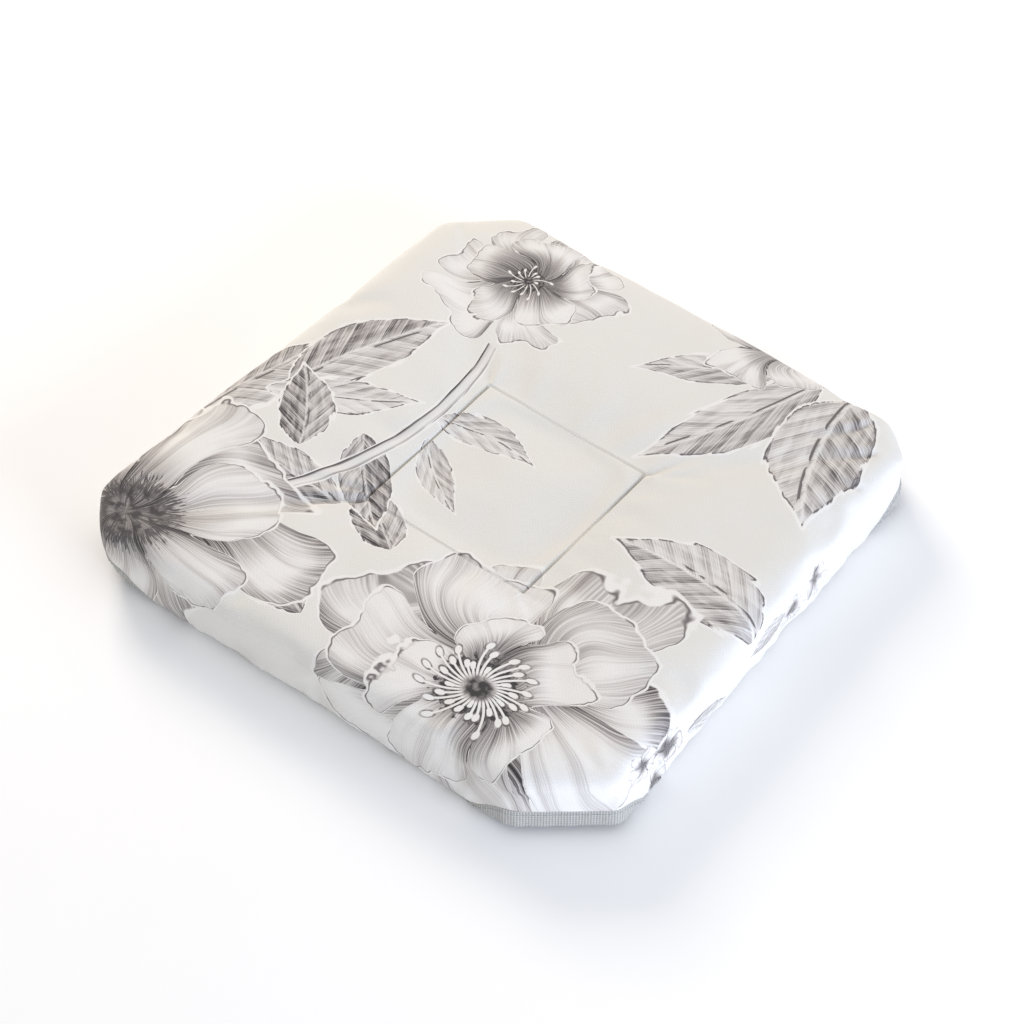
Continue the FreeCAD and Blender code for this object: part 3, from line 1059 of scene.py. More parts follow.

# %% [markdown]
# ### Ribbed elastic
#
# Woven elastic has rubber cores running along it, wrapped in polyester yarn, and the weft
# pulls it into fine ribs across. It is a neutral grey with uneven yarn, with painted shade
# that makes it darker between the ribs, and it has a slight sheen. The ribs are 1.75 mm
# apart, and the map along the tape keeps them square to its edges all the way round.

# %% Woven elastic
elastic, tree, shader, place = start_material("woven grey elastic", "along the tape")
RIB_PITCH, CORE_PITCH = 1.75, 2.0
turns = add(tree, "VectorMath", (place, (math.tau / RIB_PITCH, math.tau / CORE_PITCH, 0.0)),
            operation="MULTIPLY")
split = add(tree, "SeparateXYZ", (turns,))
rib = add(tree, "Math", (split.outputs[0],), operation="SINE")
core = add(tree, "Math", (split.outputs[1],), operation="SINE")
rib = add(tree, "Math", (rib, 0.5, 0.5), operation="MULTIPLY_ADD")
height = add(tree, "Math", (core, 0.3, rib), operation="MULTIPLY_ADD")
yarn = add(tree, "TexNoise", {"Vector": place, "Scale": 0.35, "Detail": 3.0}, noise_dimensions="2D")
# painted shade between the ribs, over the real unevenness of the yarn
shade = add(tree, "Math", (yarn, 0.7, height), operation="MULTIPLY_ADD")
shade = add(tree, "MapRange", (shade, 0.1, 1.6, 0.0, 1.0))
tint = add(tree, "Mix", {0: shade, 6: linear("#908F8C"), 7: linear("#C2C1BD")}, data_type="RGBA")
finish_material(tree, shader, tint.outputs[2], height, (0.8, 0.25), 0.7, 0.15)
give(elastic, tape)

# %% [markdown]
# ### Sewing thread and the label
#
# Thread is two plies of polyester twisted together, a little shinier than the cloth round
# it. It is cream where it crosses the print and grey on the tape. The label is white
# satin, smooth, with fine lines along its weave, and blank.

# %% Cream and grey sewing thread
for name, light, dark, pieces in (
        ("cream spun polyester thread", "#F1ECE2", "#D3CCBE", (top_row, under_row, label_thread)),
        ("grey spun polyester thread", "#B4B9B7", "#868C8B", (outer_row, inner_row, tacks))):
    thread, tree, shader, place = start_material(name)
    twist = add(tree, "TexWave", {"Vector": place, "Scale": 0.45, "Distortion": 1.5},
                bands_direction="DIAGONAL")
    # painted shade: the thread is darker in the grooves of its twist
    tint = add(tree, "Mix", {0: twist.outputs["Fac"], 6: linear(dark), 7: linear(light)},
               data_type="RGBA")
    finish_material(tree, shader, tint.outputs[2], twist.outputs["Fac"], (0.5, 0.1), 0.55)
    give(thread, *pieces)

# %% Label satin
satin, tree, shader, place = start_material("white label satin")
lines = add(tree, "TexWave", {"Vector": place, "Scale": 0.9, "Distortion": 0.4}, bands_direction="Y")
tint = add(tree, "Mix", {0: lines.outputs["Fac"], 6: linear("#E6E6E6"), 7: linear("#F8F8F8")},
           data_type="RGBA")
finish_material(tree, shader, tint.outputs[2], lines.outputs["Fac"], (0.3, 0.05), 0.35, 0.2)
give(satin, label)

# %% [markdown]
# ### The print, one motif at a time
#
# The canvas is printed in greys with flowers and leaves in the manner of pencil drawings.
# Each kind of motif is a node group. It takes the place on the flat cloth, and what has
# been printed so far as two numbers: the *ink*, from bare cloth to full black, and the
# *paper*, the paler ground left round a motif. It lays itself over them and hands them on,
# so that the print is a chain of motifs, as layers of tracing paper would be. Every
# motif reads its own place, turn and size, and a seed that makes it unlike its neighbours.

# %% What all motifs share
SMOOTH = {"interpolation_type": "SMOOTHSTEP", "clamp": False}

MOTIF_INPUTS = {
    "Cloth": "Vector", "Ink": "Float", "Paper": "Float", "Place": "Vector", "Turn": "Vector",
    "Size": "Vector", "Seed": "Vector", "Depth": "Float"}


def new_motif(name, **extra):
    """An empty node group for one motif of the print, with the inputs that all motifs share."""
    tree = bpy.data.node_groups.new(name, "ShaderNodeTree")
    for label, kind in {**MOTIF_INPUTS, **extra}.items():
        tree.interface.new_socket(label, in_out="INPUT", socket_type="NodeSocket" + kind)
    for label in ("Ink", "Paper"):
        tree.interface.new_socket(label, in_out="OUTPUT", socket_type="NodeSocketFloat")
    given = add(tree, "NodeGroupInput")
    placed = add(tree, "Mapping", (given.outputs["Cloth"], given.outputs["Place"],
                 given.outputs["Turn"], given.outputs["Size"]), vector_type="TEXTURE")
    return tree, given.outputs, placed


def finish_motif(tree, given, ink, mask, halo):
    """Lay a motif over what is printed so far, with a rim of bare cloth round it."""
    bare = add(tree, "Math", (1.0, halo), operation="SUBTRACT")
    below = add(tree, "Math", (given["Ink"], bare), operation="MULTIPLY")
    change = add(tree, "Math", (ink, below), operation="SUBTRACT")
    both = add(tree, "Math", (change, mask, below), operation="MULTIPLY_ADD")
    paper = add(tree, "Math", (given["Paper"], halo), operation="MAXIMUM")
    add(tree, "NodeGroupOutput", (both, paper))


def polar_place(tree, place):
    """The angle and the distance of a place from the middle of a motif."""
    split = add(tree, "SeparateXYZ", (place,))
    angle = add(tree, "Math", (split.outputs[1], split.outputs[0]), operation="ARCTAN2")
    return angle, add(tree, "VectorMath", (place,), operation="LENGTH").outputs["Value"]


def sectors(tree, given, angle, count):
    """Divide a circle: sectors to the radian, the place across one, its number and its chance."""
    turns = add(tree, "Math", (count, 1 / math.tau), operation="MULTIPLY")
    t = add(tree, "Math", (angle, turns), operation="MULTIPLY")
    number = add(tree, "Math", (t,), operation="ROUND")
    a = add(tree, "Math", (t, number), operation="SUBTRACT")
    number = add(tree, "Math", (number, count), operation="FLOORED_MODULO")
    pick = add(tree, "VectorMath", (given["Seed"], number), operation="ADD")
    chance = add(tree, "TexWhiteNoise", {"Vector": pick}, noise_dimensions="3D")
    return turns, a, number, chance


def off_bent_line(tree, place, bend):
    """The place along a bent line, and how far to its side, with the sign and without."""
    split = add(tree, "SeparateXYZ", (place,))
    x, y = split.outputs[0], split.outputs[1]
    rest = add(tree, "Math", (1.0, x), operation="SUBTRACT")
    arch = add(tree, "Math", (x, rest), operation="MULTIPLY")
    side = add(tree, "Math", (arch, bend, y), operation="MULTIPLY_ADD")
    return x, side, add(tree, "Math", (side,), operation="ABSOLUTE")


def pencil_grain(tree, given, place, stretch, detail=2.0, roughness=0.5):
    """Noise stretched into strokes, and moved by the seed so that each motif has its own."""
    where = add(tree, "VectorMath", (place, (*stretch, 1.0), given["Seed"]), operation="MULTIPLY_ADD")
    return add(tree, "TexNoise", {"Vector": where, "Scale": 1.0, "Detail": detail,
                                  "Roughness": roughness}, noise_dimensions="2D")


def cut_to_length(tree, x, left, half, edge, rim):
    """A long motif's mask and its rim of bare cloth, both ended at half a length each way."""
    reach = add(tree, "Math", (x, 0.5), operation="SUBTRACT")
    reach = add(tree, "Math", (reach,), operation="ABSOLUTE")
    within = add(tree, "Math", (reach, half), operation="LESS_THAN")
    for low, high in (edge, rim):
        soft = add(tree, "MapRange", (left, low, high, 0.0, 1.0), **SMOOTH)
        yield add(tree, "Math", (soft, within), operation="MULTIPLY")


def curve_points(node, points):
    """Give a float curve its points."""
    curve = node.mapping.curves[0]
    while len(curve.points) < len(points):
        curve.points.new(0.5, 0.5)
    for point, place in zip(curve.points, points):
        point.location = place
    node.mapping.update()


# %% [markdown]
# A leaf runs along X from its stalk to its tip. Its veins sweep forwards from the midrib,
# the strokes between them are noise stretched along the veins, and its edge is a dark,
# broken line.

# %% Leaf
def make_leaf():
    """A leaf along X: outline, midrib, side veins and strokes that follow them."""
    tree, given, q = new_motif("pencil leaf", Bend="Float", Veins="Float")
    seeded = add(tree, "VectorMath", (q, given["Seed"]), operation="ADD")
    x, y2, size = off_bent_line(tree, q, given["Bend"])
    outline = add(tree, "FloatCurve", {"Value": x})
    curve_points(outline, [(0, 0), (0.08, 0.42), (0.3, 0.93), (0.5, 0.98), (0.75, 0.6),
                           (0.93, 0.13), (1, 0)])
    rough = add(tree, "TexNoise", {"Vector": seeded, "Scale": 5.0, "Detail": 3.0}, noise_dimensions="2D")
    wave = add(tree, "Math", (rough, 0.45, 0.75), operation="MULTIPLY_ADD")
    width = add(tree, "Math", (outline, wave), operation="MULTIPLY")
    left = add(tree, "Math", (width, size), operation="SUBTRACT")
    mask, halo = cut_to_length(tree, x, left, 0.515, (0.0, 0.035), (-0.09, -0.045))
    # veins
    upper = add(tree, "Math", (y2, 0.0), operation="GREATER_THAN")
    forward = add(tree, "Math", (x, given["Veins"]), operation="MULTIPLY")
    swept = add(tree, "Math", (size, -1.9, forward), operation="MULTIPLY_ADD")
    vein_at = add(tree, "Math", (upper, 0.45, swept), operation="MULTIPLY_ADD")
    past = add(tree, "Math", (vein_at,), operation="FRACT")
    shade = add(tree, "MapRange", (past, 0.0, 0.85, 1.0, 0.0), **SMOOTH)
    near_vein = add(tree, "Math", (past, 0.5), operation="PINGPONG")
    vein = add(tree, "MapRange", (near_vein, 0.06, 0.02, 0.0, 0.4), **SMOOTH)
    # hatching follows the veins
    fine = add(tree, "CombineXYZ", (vein_at, size, 0.0))
    hatch = pencil_grain(tree, given, fine, (17.0, 1.1), roughness=0.65)
    stroke = add(tree, "MapRange", (hatch, 0.3, 0.7, 0.35, 1.35), **SMOOTH)
    fold = add(tree, "MapRange", (y2, -0.12, 0.12, 0.55, 1.0), **SMOOTH)
    patch = add(tree, "MapRange", (rough, 0.35, 0.65, 0.6, 1.15), **SMOOTH)
    tone = add(tree, "Math", (shade, 0.5, 0.42), operation="MULTIPLY_ADD")
    for factor in (fold, patch, stroke, given["Depth"]):
        tone = add(tree, "Math", (tone, factor), operation="MULTIPLY")
    rib = add(tree, "MapRange", (size, 0.06, 0.02, 0.0, 0.6), **SMOOTH)
    bare = add(tree, "Math", (vein, rib), operation="MAXIMUM")
    keep = add(tree, "Math", (1.0, bare), operation="SUBTRACT")
    tone = add(tree, "Math", (tone, keep), operation="MULTIPLY")
    # dark broken edge
    rim = add(tree, "MapRange", (left, 0.1, 0.02, 0.0, 0.9), **SMOOTH)
    breaks = add(tree, "MapRange", (patch, 0.8, 0.95, 0.0, 1.0), **SMOOTH)
    rim = add(tree, "Math", (rim, breaks), operation="MULTIPLY")
    under = add(tree, "Math", (y2, -0.1), operation="SUBTRACT")
    under = add(tree, "Math", (under,), operation="ABSOLUTE")
    crease = add(tree, "MapRange", (under, 0.05, 0.015, 0.0, 0.75), **SMOOTH)
    crease = add(tree, "Math", (crease, breaks), operation="MULTIPLY")
    ink = add(tree, "Math", (tone, rim), operation="MAXIMUM")
    ink = add(tree, "Math", (ink, crease), operation="MAXIMUM")
    finish_motif(tree, given, ink, mask, halo)
    return tree


# %% [markdown]
# Petals are drawn round a centre. The angle is divided by the number of petals, and each
# petal gets its own length and shading by chance. Noise bends the whole flower a little,
# so that no two petals are alike.

# %% Petals
def make_petals():
    """A ring of petals, shaded from the heart outwards with fine strokes."""
    tree, given, q = new_motif("pencil petals", Petals="Float", Centre="Float", Edge="Float")
    seeded = add(tree, "VectorMath", (q, given["Seed"]), operation="ADD")
    slow = add(tree, "TexNoise", {"Vector": seeded, "Scale": 1.5, "Detail": 0.0}, noise_dimensions="2D")
    shift = add(tree, "VectorMath", (slow.outputs["Color"], (0.5, 0.5, 0.5)), operation="SUBTRACT")
    warped = add(tree, "VectorMath", (shift, (0.5, 0.5, 0.0), q), operation="MULTIPLY_ADD")
    angle, r = polar_place(tree, warped)
    turns, a, number, chance = sectors(tree, given, angle, given["Petals"])
    chances = add(tree, "SeparateXYZ", (chance.outputs["Color"],))
    across = add(tree, "Math", (a,), operation="ABSOLUTE")
    crown = add(tree, "FloatCurve", {"Value": across})
    curve_points(crown, [(0, 0.97), (0.18, 1), (0.32, 0.95), (0.42, 0.8), (0.5, 0.5), (1, 0.4)])
    long = add(tree, "Math", (chances.outputs[0], 0.3, 0.7), operation="MULTIPLY_ADD")
    rough = add(tree, "TexNoise", {"Vector": seeded, "Scale": 5.0, "Detail": 2.0}, noise_dimensions="2D")
    edge = add(tree, "Math", (crown, long), operation="MULTIPLY")
    edge = add(tree, "Math", (rough, 0.16, edge), operation="MULTIPLY_ADD")
    edge = add(tree, "Math", (edge, 0.08), operation="SUBTRACT")
    left = add(tree, "Math", (edge, r), operation="SUBTRACT")
    mask = add(tree, "MapRange", (left, 0.0, 0.012, 0.0, 1.0), **SMOOTH)
    halo = add(tree, "MapRange", (left, -0.022, -0.01, 0.0, 1.0), **SMOOTH)
    # radial hatching
    spread = add(tree, "Math", (number, 7.3, a), operation="MULTIPLY_ADD")
    polar = add(tree, "CombineXYZ", (spread, r, 0.0))
    hatch = pencil_grain(tree, given, polar, (64.0, 1.5), roughness=0.65)
    stroke = add(tree, "MapRange", (hatch, 0.3, 0.7, 0.3, 1.35), **SMOOTH)
    folds = pencil_grain(tree, given, polar, (6.0, 0.7), detail=0.0)
    fold = add(tree, "MapRange", (folds, 0.52, 0.8, 0.02, 0.3), **SMOOTH)
    # shading at the heart, on one side of each petal, and at some tips
    heart = add(tree, "MapRange", (r, 0.12, 0.62, 1.5, 0.0), **SMOOTH)
    heart = add(tree, "Math", (heart, given["Centre"]), operation="MULTIPLY")
    side = add(tree, "MapRange", (a, 0.22, 0.5, 0.0, 1.1), **SMOOTH)
    side = add(tree, "Math", (side, chances.outputs[1]), operation="MULTIPLY")
    tip = add(tree, "MapRange", (left, 0.22, 0.0, 0.0, 0.7), **SMOOTH)
    for factor in (chances.outputs[2], given["Edge"]):
        tip = add(tree, "Math", (tip, factor), operation="MULTIPLY")
    tone = heart
    for part in (side, fold, tip):
        tone = add(tree, "Math", (tone, part), operation="ADD")
    for factor in (stroke, given["Depth"]):
        tone = add(tree, "Math", (tone, factor), operation="MULTIPLY")
    # thin broken lines at the rim and between petals
    rim = add(tree, "MapRange", (left, 0.022, 0.008, 0.0, 0.8), **SMOOTH)
    seam = add(tree, "MapRange", (across, 0.455, 0.49, 0.0, 1.0), **SMOOTH)
    line = add(tree, "Math", (rim, seam), operation="MAXIMUM")
    breaks = add(tree, "MapRange", (rough, 0.4, 0.52, 0.2, 1.0), **SMOOTH)
    line = add(tree, "Math", (line, breaks), operation="MULTIPLY")
    ink = add(tree, "Math", (tone, line), operation="MAXIMUM")
    finish_motif(tree, given, ink, mask, halo)
    return tree


# %% [markdown]
# The hearts of the flowers come in two kinds: pale filaments with beads at their ends on
# dark hatching, and a dense dark cushion with fine bristles. The filaments divide the
# circle as the petals do, and each has a length of its own.

# %% Stamens
def make_stamens():
    """A dark hatched heart with a fan of pale filaments that end in beads."""
    tree, given, q = new_motif("pencil stamens", Count="Float")
    angle, r = polar_place(tree, q)
    swirl = add(tree, "Math", (r, 0.5, angle), operation="MULTIPLY_ADD")
    turns, a, number, chance = sectors(tree, given, swirl, given["Count"])
    length = add(tree, "Math", (chance.outputs["Value"], 0.6, 0.32), operation="MULTIPLY_ADD")
    per_radius = add(tree, "Math", (r, turns), operation="DIVIDE")
    aside = add(tree, "Math", (a, per_radius), operation="MULTIPLY")
    thin = add(tree, "Math", (aside,), operation="ABSOLUTE")
    filament = add(tree, "MapRange", (thin, 0.028, 0.014, 0.0, 1.0), **SMOOTH)
    short = add(tree, "Math", (r, length), operation="LESS_THAN")
    open_heart = add(tree, "MapRange", (r, 0.12, 0.3, 0.0, 1.0), **SMOOTH)
    short = add(tree, "Math", (short, open_heart), operation="MULTIPLY")
    filament = add(tree, "Math", (filament, short), operation="MULTIPLY")
    along = add(tree, "Math", (r, length), operation="SUBTRACT")
    along = add(tree, "Math", (along, 0.7), operation="MULTIPLY")
    bead_at = add(tree, "CombineXYZ", (aside, along, 0.0))
    off = add(tree, "VectorMath", (bead_at,), operation="LENGTH").outputs["Value"]
    bead = add(tree, "MapRange", (off, 0.062, 0.045, 0.0, 1.0), **SMOOTH)
    ring = add(tree, "MapRange", (off, 0.085, 0.065, 0.0, 1.0), **SMOOTH)
    pale = add(tree, "Math", (filament, bead), operation="MAXIMUM")
    rough = pencil_grain(tree, given, q, (9.0, 9.0))
    dark = add(tree, "MapRange", (r, 0.4, 1.05, 1.15, 0.4), **SMOOTH)
    for factor in (rough, 1.7, given["Depth"]):
        dark = add(tree, "Math", (dark, factor), operation="MULTIPLY")
    gone = add(tree, "Math", (1.0, pale), operation="SUBTRACT")
    ink = add(tree, "Math", (dark, gone), operation="MULTIPLY")
    ground = add(tree, "Math", (rough, 0.6, 0.3), operation="MULTIPLY_ADD")
    disc = add(tree, "Math", (ground, r), operation="SUBTRACT")
    disc = add(tree, "MapRange", (disc, -0.02, 0.1, 0.0, 1.0), **SMOOTH)
    mask = add(tree, "Math", (disc, ring), operation="MAXIMUM")
    mask = add(tree, "Math", (mask, filament), operation="MAXIMUM")
    finish_motif(tree, given, ink, mask, 0.0)
    return tree


# %% [markdown]
# Bristles are one noise stretched along the radius, cut off where it fades with distance.
# The cushion in the middle is a second, finer noise.

# %% Bristles
def make_bristles():
    """A dense dark heart whose fine hairs run out over the petals."""
    tree, given, q = new_motif("pencil bristles")
    angle, r = polar_place(tree, q)
    polar = add(tree, "CombineXYZ", (angle, r, 0.0))
    hairs = pencil_grain(tree, given, polar, (26.0, 4.0), roughness=0.7)
    fade = add(tree, "MapRange", (r, 0.25, 1.0, 0.75, 0.2), **SMOOTH)
    hair = add(tree, "Math", (fade, hairs), operation="SUBTRACT")
    hair = add(tree, "MapRange", (hair, -0.02, 0.12, 0.0, 0.9), **SMOOTH)
    rough = pencil_grain(tree, given, q, (7.0, 7.0), detail=3.0)
    heart = add(tree, "MapRange", (rough, 0.35, 0.65, 0.35, 1.0), **SMOOTH)
    inner = add(tree, "MapRange", (r, 0.3, 0.45, 1.0, 0.0), **SMOOTH)
    change = add(tree, "Math", (heart, hair), operation="SUBTRACT")
    ink = add(tree, "Math", (change, inner, hair), operation="MULTIPLY_ADD")
    ink = add(tree, "Math", (ink, given["Depth"]), operation="MULTIPLY")
    ink = add(tree, "Math", (ink, given["Ink"]), operation="MAXIMUM")
    near = add(tree, "Math", (r, 1.1), operation="LESS_THAN")
    finish_motif(tree, given, ink, near, 0.0)
    return tree


# %% [markdown]
# The twig follows an arch like a leaf's midrib. Its width wavers with the noise that also
# draws its lines.

# %% Stem
def make_stem():
    """A bent twig, pale in the middle and dark along its edges."""
    tree, given, q = new_motif("pencil stem", Bend="Float")
    x, y2, size = off_bent_line(tree, q, given["Bend"])
    along = add(tree, "CombineXYZ", (x, y2, 0.0))
    hatch = pencil_grain(tree, given, along, (5.0, 3.5), detail=3.0)
    width = add(tree, "Math", (hatch, 0.7, 0.55), operation="MULTIPLY_ADD")
    left = add(tree, "Math", (width, size), operation="SUBTRACT")
    mask, halo = cut_to_length(tree, x, left, 0.5, (0.0, 0.12), (-0.3, -0.15))
    rim = add(tree, "MapRange", (left, 0.5, 0.12, 0.12, 0.95), **SMOOTH)
    lower = add(tree, "MapRange", (y2, 0.3, -0.5, 0.45, 1.1), **SMOOTH)
    lines = add(tree, "MapRange", (hatch, 0.35, 0.6, 0.6, 1.2), **SMOOTH)
    ink = rim
    for factor in (lower, lines, given["Depth"]):
        ink = add(tree, "Math", (ink, factor), operation="MULTIPLY")
    finish_motif(tree, given, ink, mask, halo)
    return tree


# %% [markdown]
# ### Laying out the print
#
# The motifs are set out on the flat cloth, in millimetres from its middle: a place, a turn
# in degrees, a size, a seed and how dark it is. Later ones lie over earlier ones. A shader
# has only so much room, and a long chain is slow, so the cloth is divided into regions.
# Each region has its own material, with the same cloth and only the motifs that reach it.

# %% Motifs on the flat cloth
leaf, petals, stamens = make_leaf(), make_petals(), make_stamens()
bristles, stem = make_bristles(), make_stem()

# kind, place, turn, size, seed, darkness, and what only that kind has
MOTIFS = [
    (leaf, (-205, -90), 70, (115, 26), 1, 0.95, {"Bend": 0.6, "Veins": 8}),
    (leaf, (-160, -25), 66, (115, 24), 2, 0.85, {"Bend": -0.8, "Veins": 8}),
    (leaf, (-168, -38), 32, (100, 15), 3, 0.4, {"Bend": 0.7, "Veins": 6}),
    (leaf, (-70, -82), 176, (90, 17), 4, 0.95, {"Bend": -0.9, "Veins": 7}),
    (leaf, (-120, -62), 128, (70, 18), 33, 1.15, {"Bend": 0.7, "Veins": 6}),
    (leaf, (-30, -168), 168, (95, 20), 31, 1.1, {"Bend": 1.1, "Veins": 7}),
    (leaf, (-20, -95), 150, (62, 17), 32, 1.1, {"Bend": 0.6, "Veins": 5}),
    (leaf, (-95, -30), -45, (80, 17), 5, 1.1, {"Bend": 0.6, "Veins": 6}),
    (leaf, (-72, 12), 4, (76, 13), 6, 0.5, {"Bend": -2.2, "Veins": 5}),
    (leaf, (-64, -4), -36, (66, 11), 7, 0.55, {"Bend": 1.2, "Veins": 5}),
    (stem, (-80, 82), -98, (175, 4.5), 8, 0.9, {"Bend": -16.0}),
    (leaf, (80, 170), 212, (92, 13), 9, 0.6, {"Bend": 1.2, "Veins": 5}),
    (leaf, (105, 186), 245, (135, 22), 10, 0.65, {"Bend": -1.2, "Veins": 6}),
    (leaf, (130, 190), -72, (120, 32), 11, 0.65, {"Bend": 1.3, "Veins": 8}),
    (leaf, (200, -8), 177, (120, 26), 12, 0.65, {"Bend": 1.2, "Veins": 8}),
    (petals, (62, 205), 20, (62, 55), 13, 0.6, {"Petals": 6, "Centre": 0.6, "Edge": 0.6}),
    (petals, (-97, 141), 0, (78, 66), 14, 0.6, {"Petals": 6, "Centre": 0.9, "Edge": 0.5}),
    (petals, (-97, 141), 40, (60, 52), 15, 0.55, {"Petals": 5, "Centre": 1.0, "Edge": 0.3}),
    (stamens, (-97, 141), 0, (18, 18), 16, 0.9, {"Count": 14}),
    (petals, (-165, -167), 10, (140, 118), 17, 0.75, {"Petals": 7, "Centre": 0.7, "Edge": 0.8}),
    (petals, (-165, -167), 40, (105, 95), 18, 0.55, {"Petals": 6, "Centre": 0.9, "Edge": 0.4}),
    (bristles, (-165, -167), 0, (52, 46), 19, 0.95, {}),
    (petals, (90, -148), 25, (150, 138), 20, 1.0, {"Petals": 8, "Centre": 0.7, "Edge": 0.9}),
    (petals, (90, -148), 0, (128, 112), 21, 0.55, {"Petals": 6, "Centre": 1.0, "Edge": 0.25}),
    (petals, (90, -148), 50, (84, 78), 22, 0.5, {"Petals": 5, "Centre": 1.0, "Edge": 0.4}),
    (stamens, (90, -148), 0, (44, 40), 23, 1.0, {"Count": 34}),
    (petals, (213, -98), 10, (17, 15), 24, 0.6, {"Petals": 5, "Centre": 1.0, "Edge": 0.9}),
    (petals, (206, -124), 60, (16, 14), 25, 0.6, {"Petals": 5, "Centre": 1.0, "Edge": 0.9}),
    (petals, (232, -112), 30, (15, 15), 26, 0.6, {"Petals": 5, "Centre": 1.0, "Edge": 0.9}),
    (petals, (211, 40), 30, (16, 14), 27, 0.5, {"Petals": 5, "Centre": 1.0, "Edge": 0.9}),
    (petals, (206, 66), 0, (14, 13), 28, 0.5, {"Petals": 5, "Centre": 1.0, "Edge": 0.9}),
    (leaf, (215, -80), 80, (46, 8), 29, 0.7, {"Bend": 0.5, "Veins": 4}),
    (leaf, (206, 30), -80, (40, 7), 30, 0.7, {"Bend": 0.5, "Veins": 4}),
]


def motif_box(group, place, turn, size, bend):
    """The lowest and highest corners on the flat cloth that a motif can reach."""
    if group in (leaf, stem):
        local = [(x, y) for x in (-0.06, 1.06) for y in (-1.7 - abs(bend) / 4, 1.7 + abs(bend) / 4)]
    else:
        local = [(x, y) for x in (-1.4, 1.4) for y in (-1.4, 1.4)]
    turn = math.radians(turn)
    spots = np.array(local) * size
    turned = spots @ np.array(((math.cos(turn), math.sin(turn)), (-math.sin(turn), math.cos(turn))))
    return turned.min(axis=0) + place, turned.max(axis=0) + place


# %% [markdown]
# ### Printed canvas
#
# The ground is a pale warm grey, and slightly paler where paper was left round a motif.
# The grey ink is never quite black, and faintly warm. The threads are coarser than the real
# half millimetre, because finer ones would not show. Painted shade makes the whole cloth,
# ground and ink alike, a little darker in the hollows between the threads, so that the weave
# can be seen through the drawing.

# %% One canvas for each region of the cloth
THREAD = 1.3


def print_canvas(name, low, high):
    """The printed canvas of one region, with only the motifs that reach it."""
    material, tree, shader, place = start_material(name, "flat cloth")
    ink = paper = 0.0
    chain = 0
    for group, spot, turn, size, seed, depth, more in MOTIFS:
        lowest, highest = motif_box(group, spot, turn, size, more.get("Bend", 0))
        if (highest < low).any() or (lowest > high).any():
            continue
        laid = add(tree, "Group", {"Cloth": place, "Ink": ink, "Paper": paper, "Place": (*spot, 0),
                   "Turn": (0, 0, math.radians(turn)), "Size": (*size, 1), "Depth": depth,
                   "Seed": (seed * 3.7, seed * 1.9, seed), **more}, node_tree=group)
        ink, paper = laid.outputs
        chain += 1
    height, wobble = plain_weave(tree, place, THREAD, THREAD)
    # painted shade: the whole cloth is darker in the hollows of the weave
    painted_weave_shade = add(tree, "MapRange", (height, 0.0, 1.0, 0.93, 1.0))
    ground = add(tree, "Mix", {0: paper, 6: linear("#E2E0DB"), 7: linear("#EBE9E6")},
                 data_type="RGBA")
    tint = add(tree, "ValToRGB", (ink,))
    ramp = tint.color_ramp
    ramp.elements[0].color = linear("#FFFFFF")
    ramp.elements[1].color = linear("#3A3739")
    for position, colour in ((0.25, "#CFCBCA"), (0.55, "#918C8D")):
        ramp.elements.new(position).color = linear(colour)
    both = add(tree, "Mix", {0: 1.0, 6: ground.outputs[2], 7: tint.outputs[0]},
               data_type="RGBA", blend_type="MULTIPLY")
    woven = add(tree, "VectorMath", (both.outputs[2], painted_weave_shade), operation="MULTIPLY")
    finish_material(tree, shader, woven.outputs[0], height, (0.45, 0.16), 0.86, 0.1)
    print(name, "motifs:", chain)
    return material


EDGES_X, EDGES_Y = (-300, -60, 60, 300), (-300, -30, 300)
OVERLAP = 6  # a face on an edge reaches this far into the next region, in millimetres

flat = np.empty(len(cover.data.loops) * 2)
cover.data.uv_layers["flat cloth"].data.foreach_get("uv", flat)
flat = flat.reshape(-1, 2) / MM
cover.data.materials.clear()
for i in range(3):
    for j in range(2):
        side = ("left", "middle", "right")[i] + (" front", " back")[j]
        low = np.array((EDGES_X[i], EDGES_Y[j])) - OVERLAP
        high = np.array((EDGES_X[i + 1], EDGES_Y[j + 1])) + OVERLAP
        cover.data.materials.append(print_canvas("printed cotton canvas " + side, low, high))
for face in cover.data.polygons:
    x, y = flat[face.loop_start]
    i = sum(x > edge for edge in EDGES_X[1:-1])
    face.material_index = 2 * i + (y > EDGES_Y[1])

# %% [markdown]
# ## Floor, light and view
#
# A plain pale floor and soft light from all round keep the attention on the cloth. A warm
# key light comes from the back left, low enough to show the seams. A cool light as large
# as a window stands low on the right, and makes the turned-down side there the brightest.

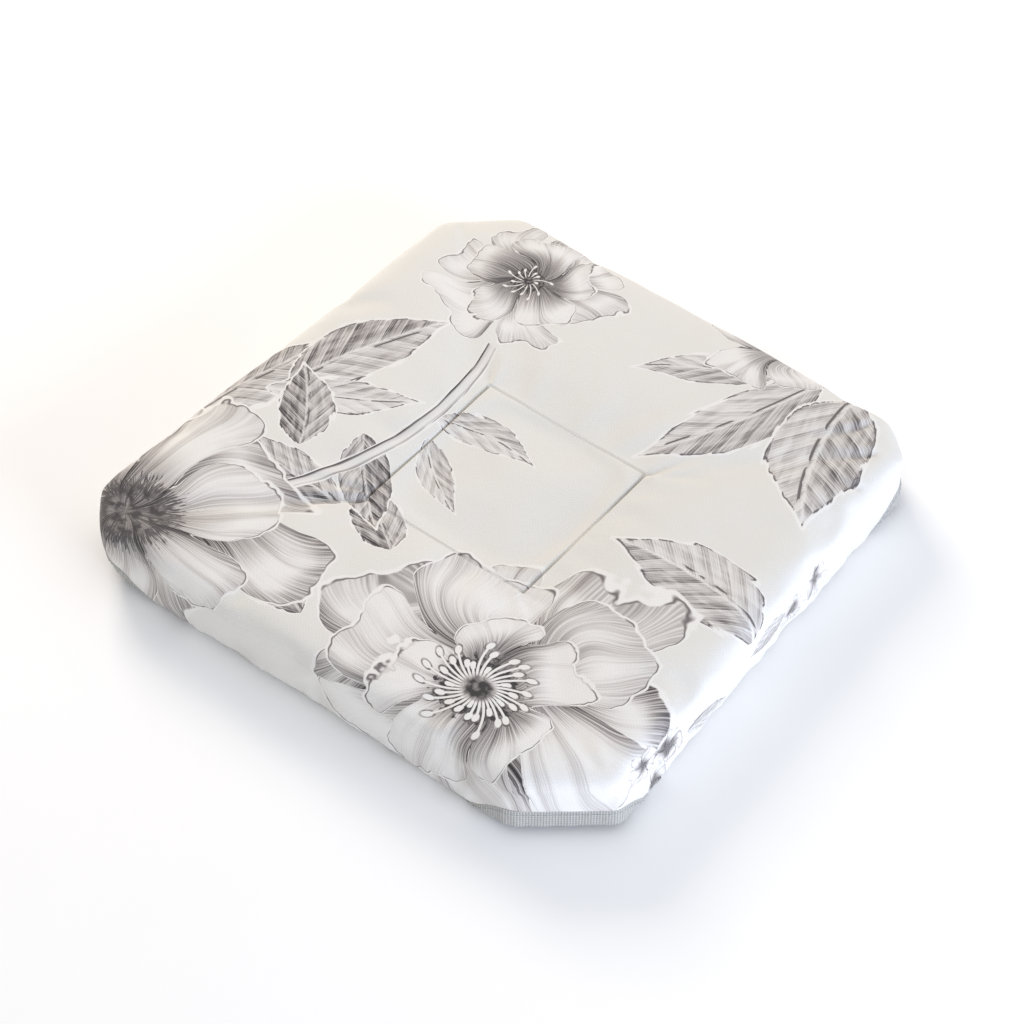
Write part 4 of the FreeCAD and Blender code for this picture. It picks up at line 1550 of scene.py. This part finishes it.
# %% Floor and lights
bpy.ops.object.select_all(action="DESELECT")
bpy.ops.mesh.primitive_plane_add(size=12, location=(0, 0, -29.9 * MM))
floor = bpy.context.object
floor.name = "studio_floor"
paint, tree, shader, place = start_material("matt white paint")
mottle = add(tree, "TexNoise", {"Vector": place, "Scale": 0.004, "Detail": 3.0})
tint = add(tree, "Mix", {0: mottle, 6: linear("#FAFAFA"), 7: linear("#FFFFFF")}, data_type="RGBA")
tree.links.new(tint.outputs[2], shader.inputs["Base Color"])
shader.inputs["Roughness"].default_value = 0.9
give(paint, floor)


def light_from(name, azimuth, elevation, distance, size, power, colour):
    """A square light that faces the pad, from an angle round it and above it."""
    way = way_to(math.radians(azimuth), math.radians(elevation))
    lamp = bpy.data.lights.new(name, "AREA")
    lamp.size, lamp.energy, lamp.color = size, power, linear(colour)[:3]
    source = bpy.data.objects.new(name, lamp)
    scene.collection.objects.link(source)
    source.location = way * distance
    source.rotation_euler = way.to_track_quat("Z", "Y").to_euler()


# angle round and above in degrees, distance and size in metres, power in watts
light_from("key", -118, 30, 2.4, 0.9, 35, "#FFF2E4")
light_from("window", 84, 9, 2.6, 1.6, 76, "#DCE8FF")
world = bpy.data.worlds.new("studio")
scene.world = world
world.use_nodes = True
world.node_tree.nodes["Background"].inputs["Color"].default_value = linear("#FFFFFF")
world.node_tree.nodes["Background"].inputs["Strength"].default_value = 0.64
scene.view_settings.view_transform = "Standard"

# %% [markdown]
# ## Handing the pieces over
#
# Each piece rides on the part's one body, and the CAD part that it stands for is hidden.

# %% Riders, and the CAD parts that they stand for
HANDED = (
    (cover, "printed_cover", "printed_canvas"),
    (wadding, "wadding_layer", "polyester_wadding"),
    (foam, "foam_core", "polyurethane_foam"),
    (lining, "lining", "plain_lining"),
    (tape, "elastic_tape", "woven_elastic"),
    (top_row, "quilting_top_thread", "cream_thread"),
    (under_row, "quilting_under_thread", "cream_thread"),
    (outer_row, "tape_outer_thread", "grey_thread"),
    (inner_row, "tape_inner_thread", "grey_thread"),
    (tacks, "tape_join_tacks", "grey_thread"),
    (label, "care_label", "label_satin"),
    (label_thread, "care_label_stitches", "cream_thread"),
)
for piece, node, slot in HANDED:
    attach(piece, "root")
    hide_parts(node)
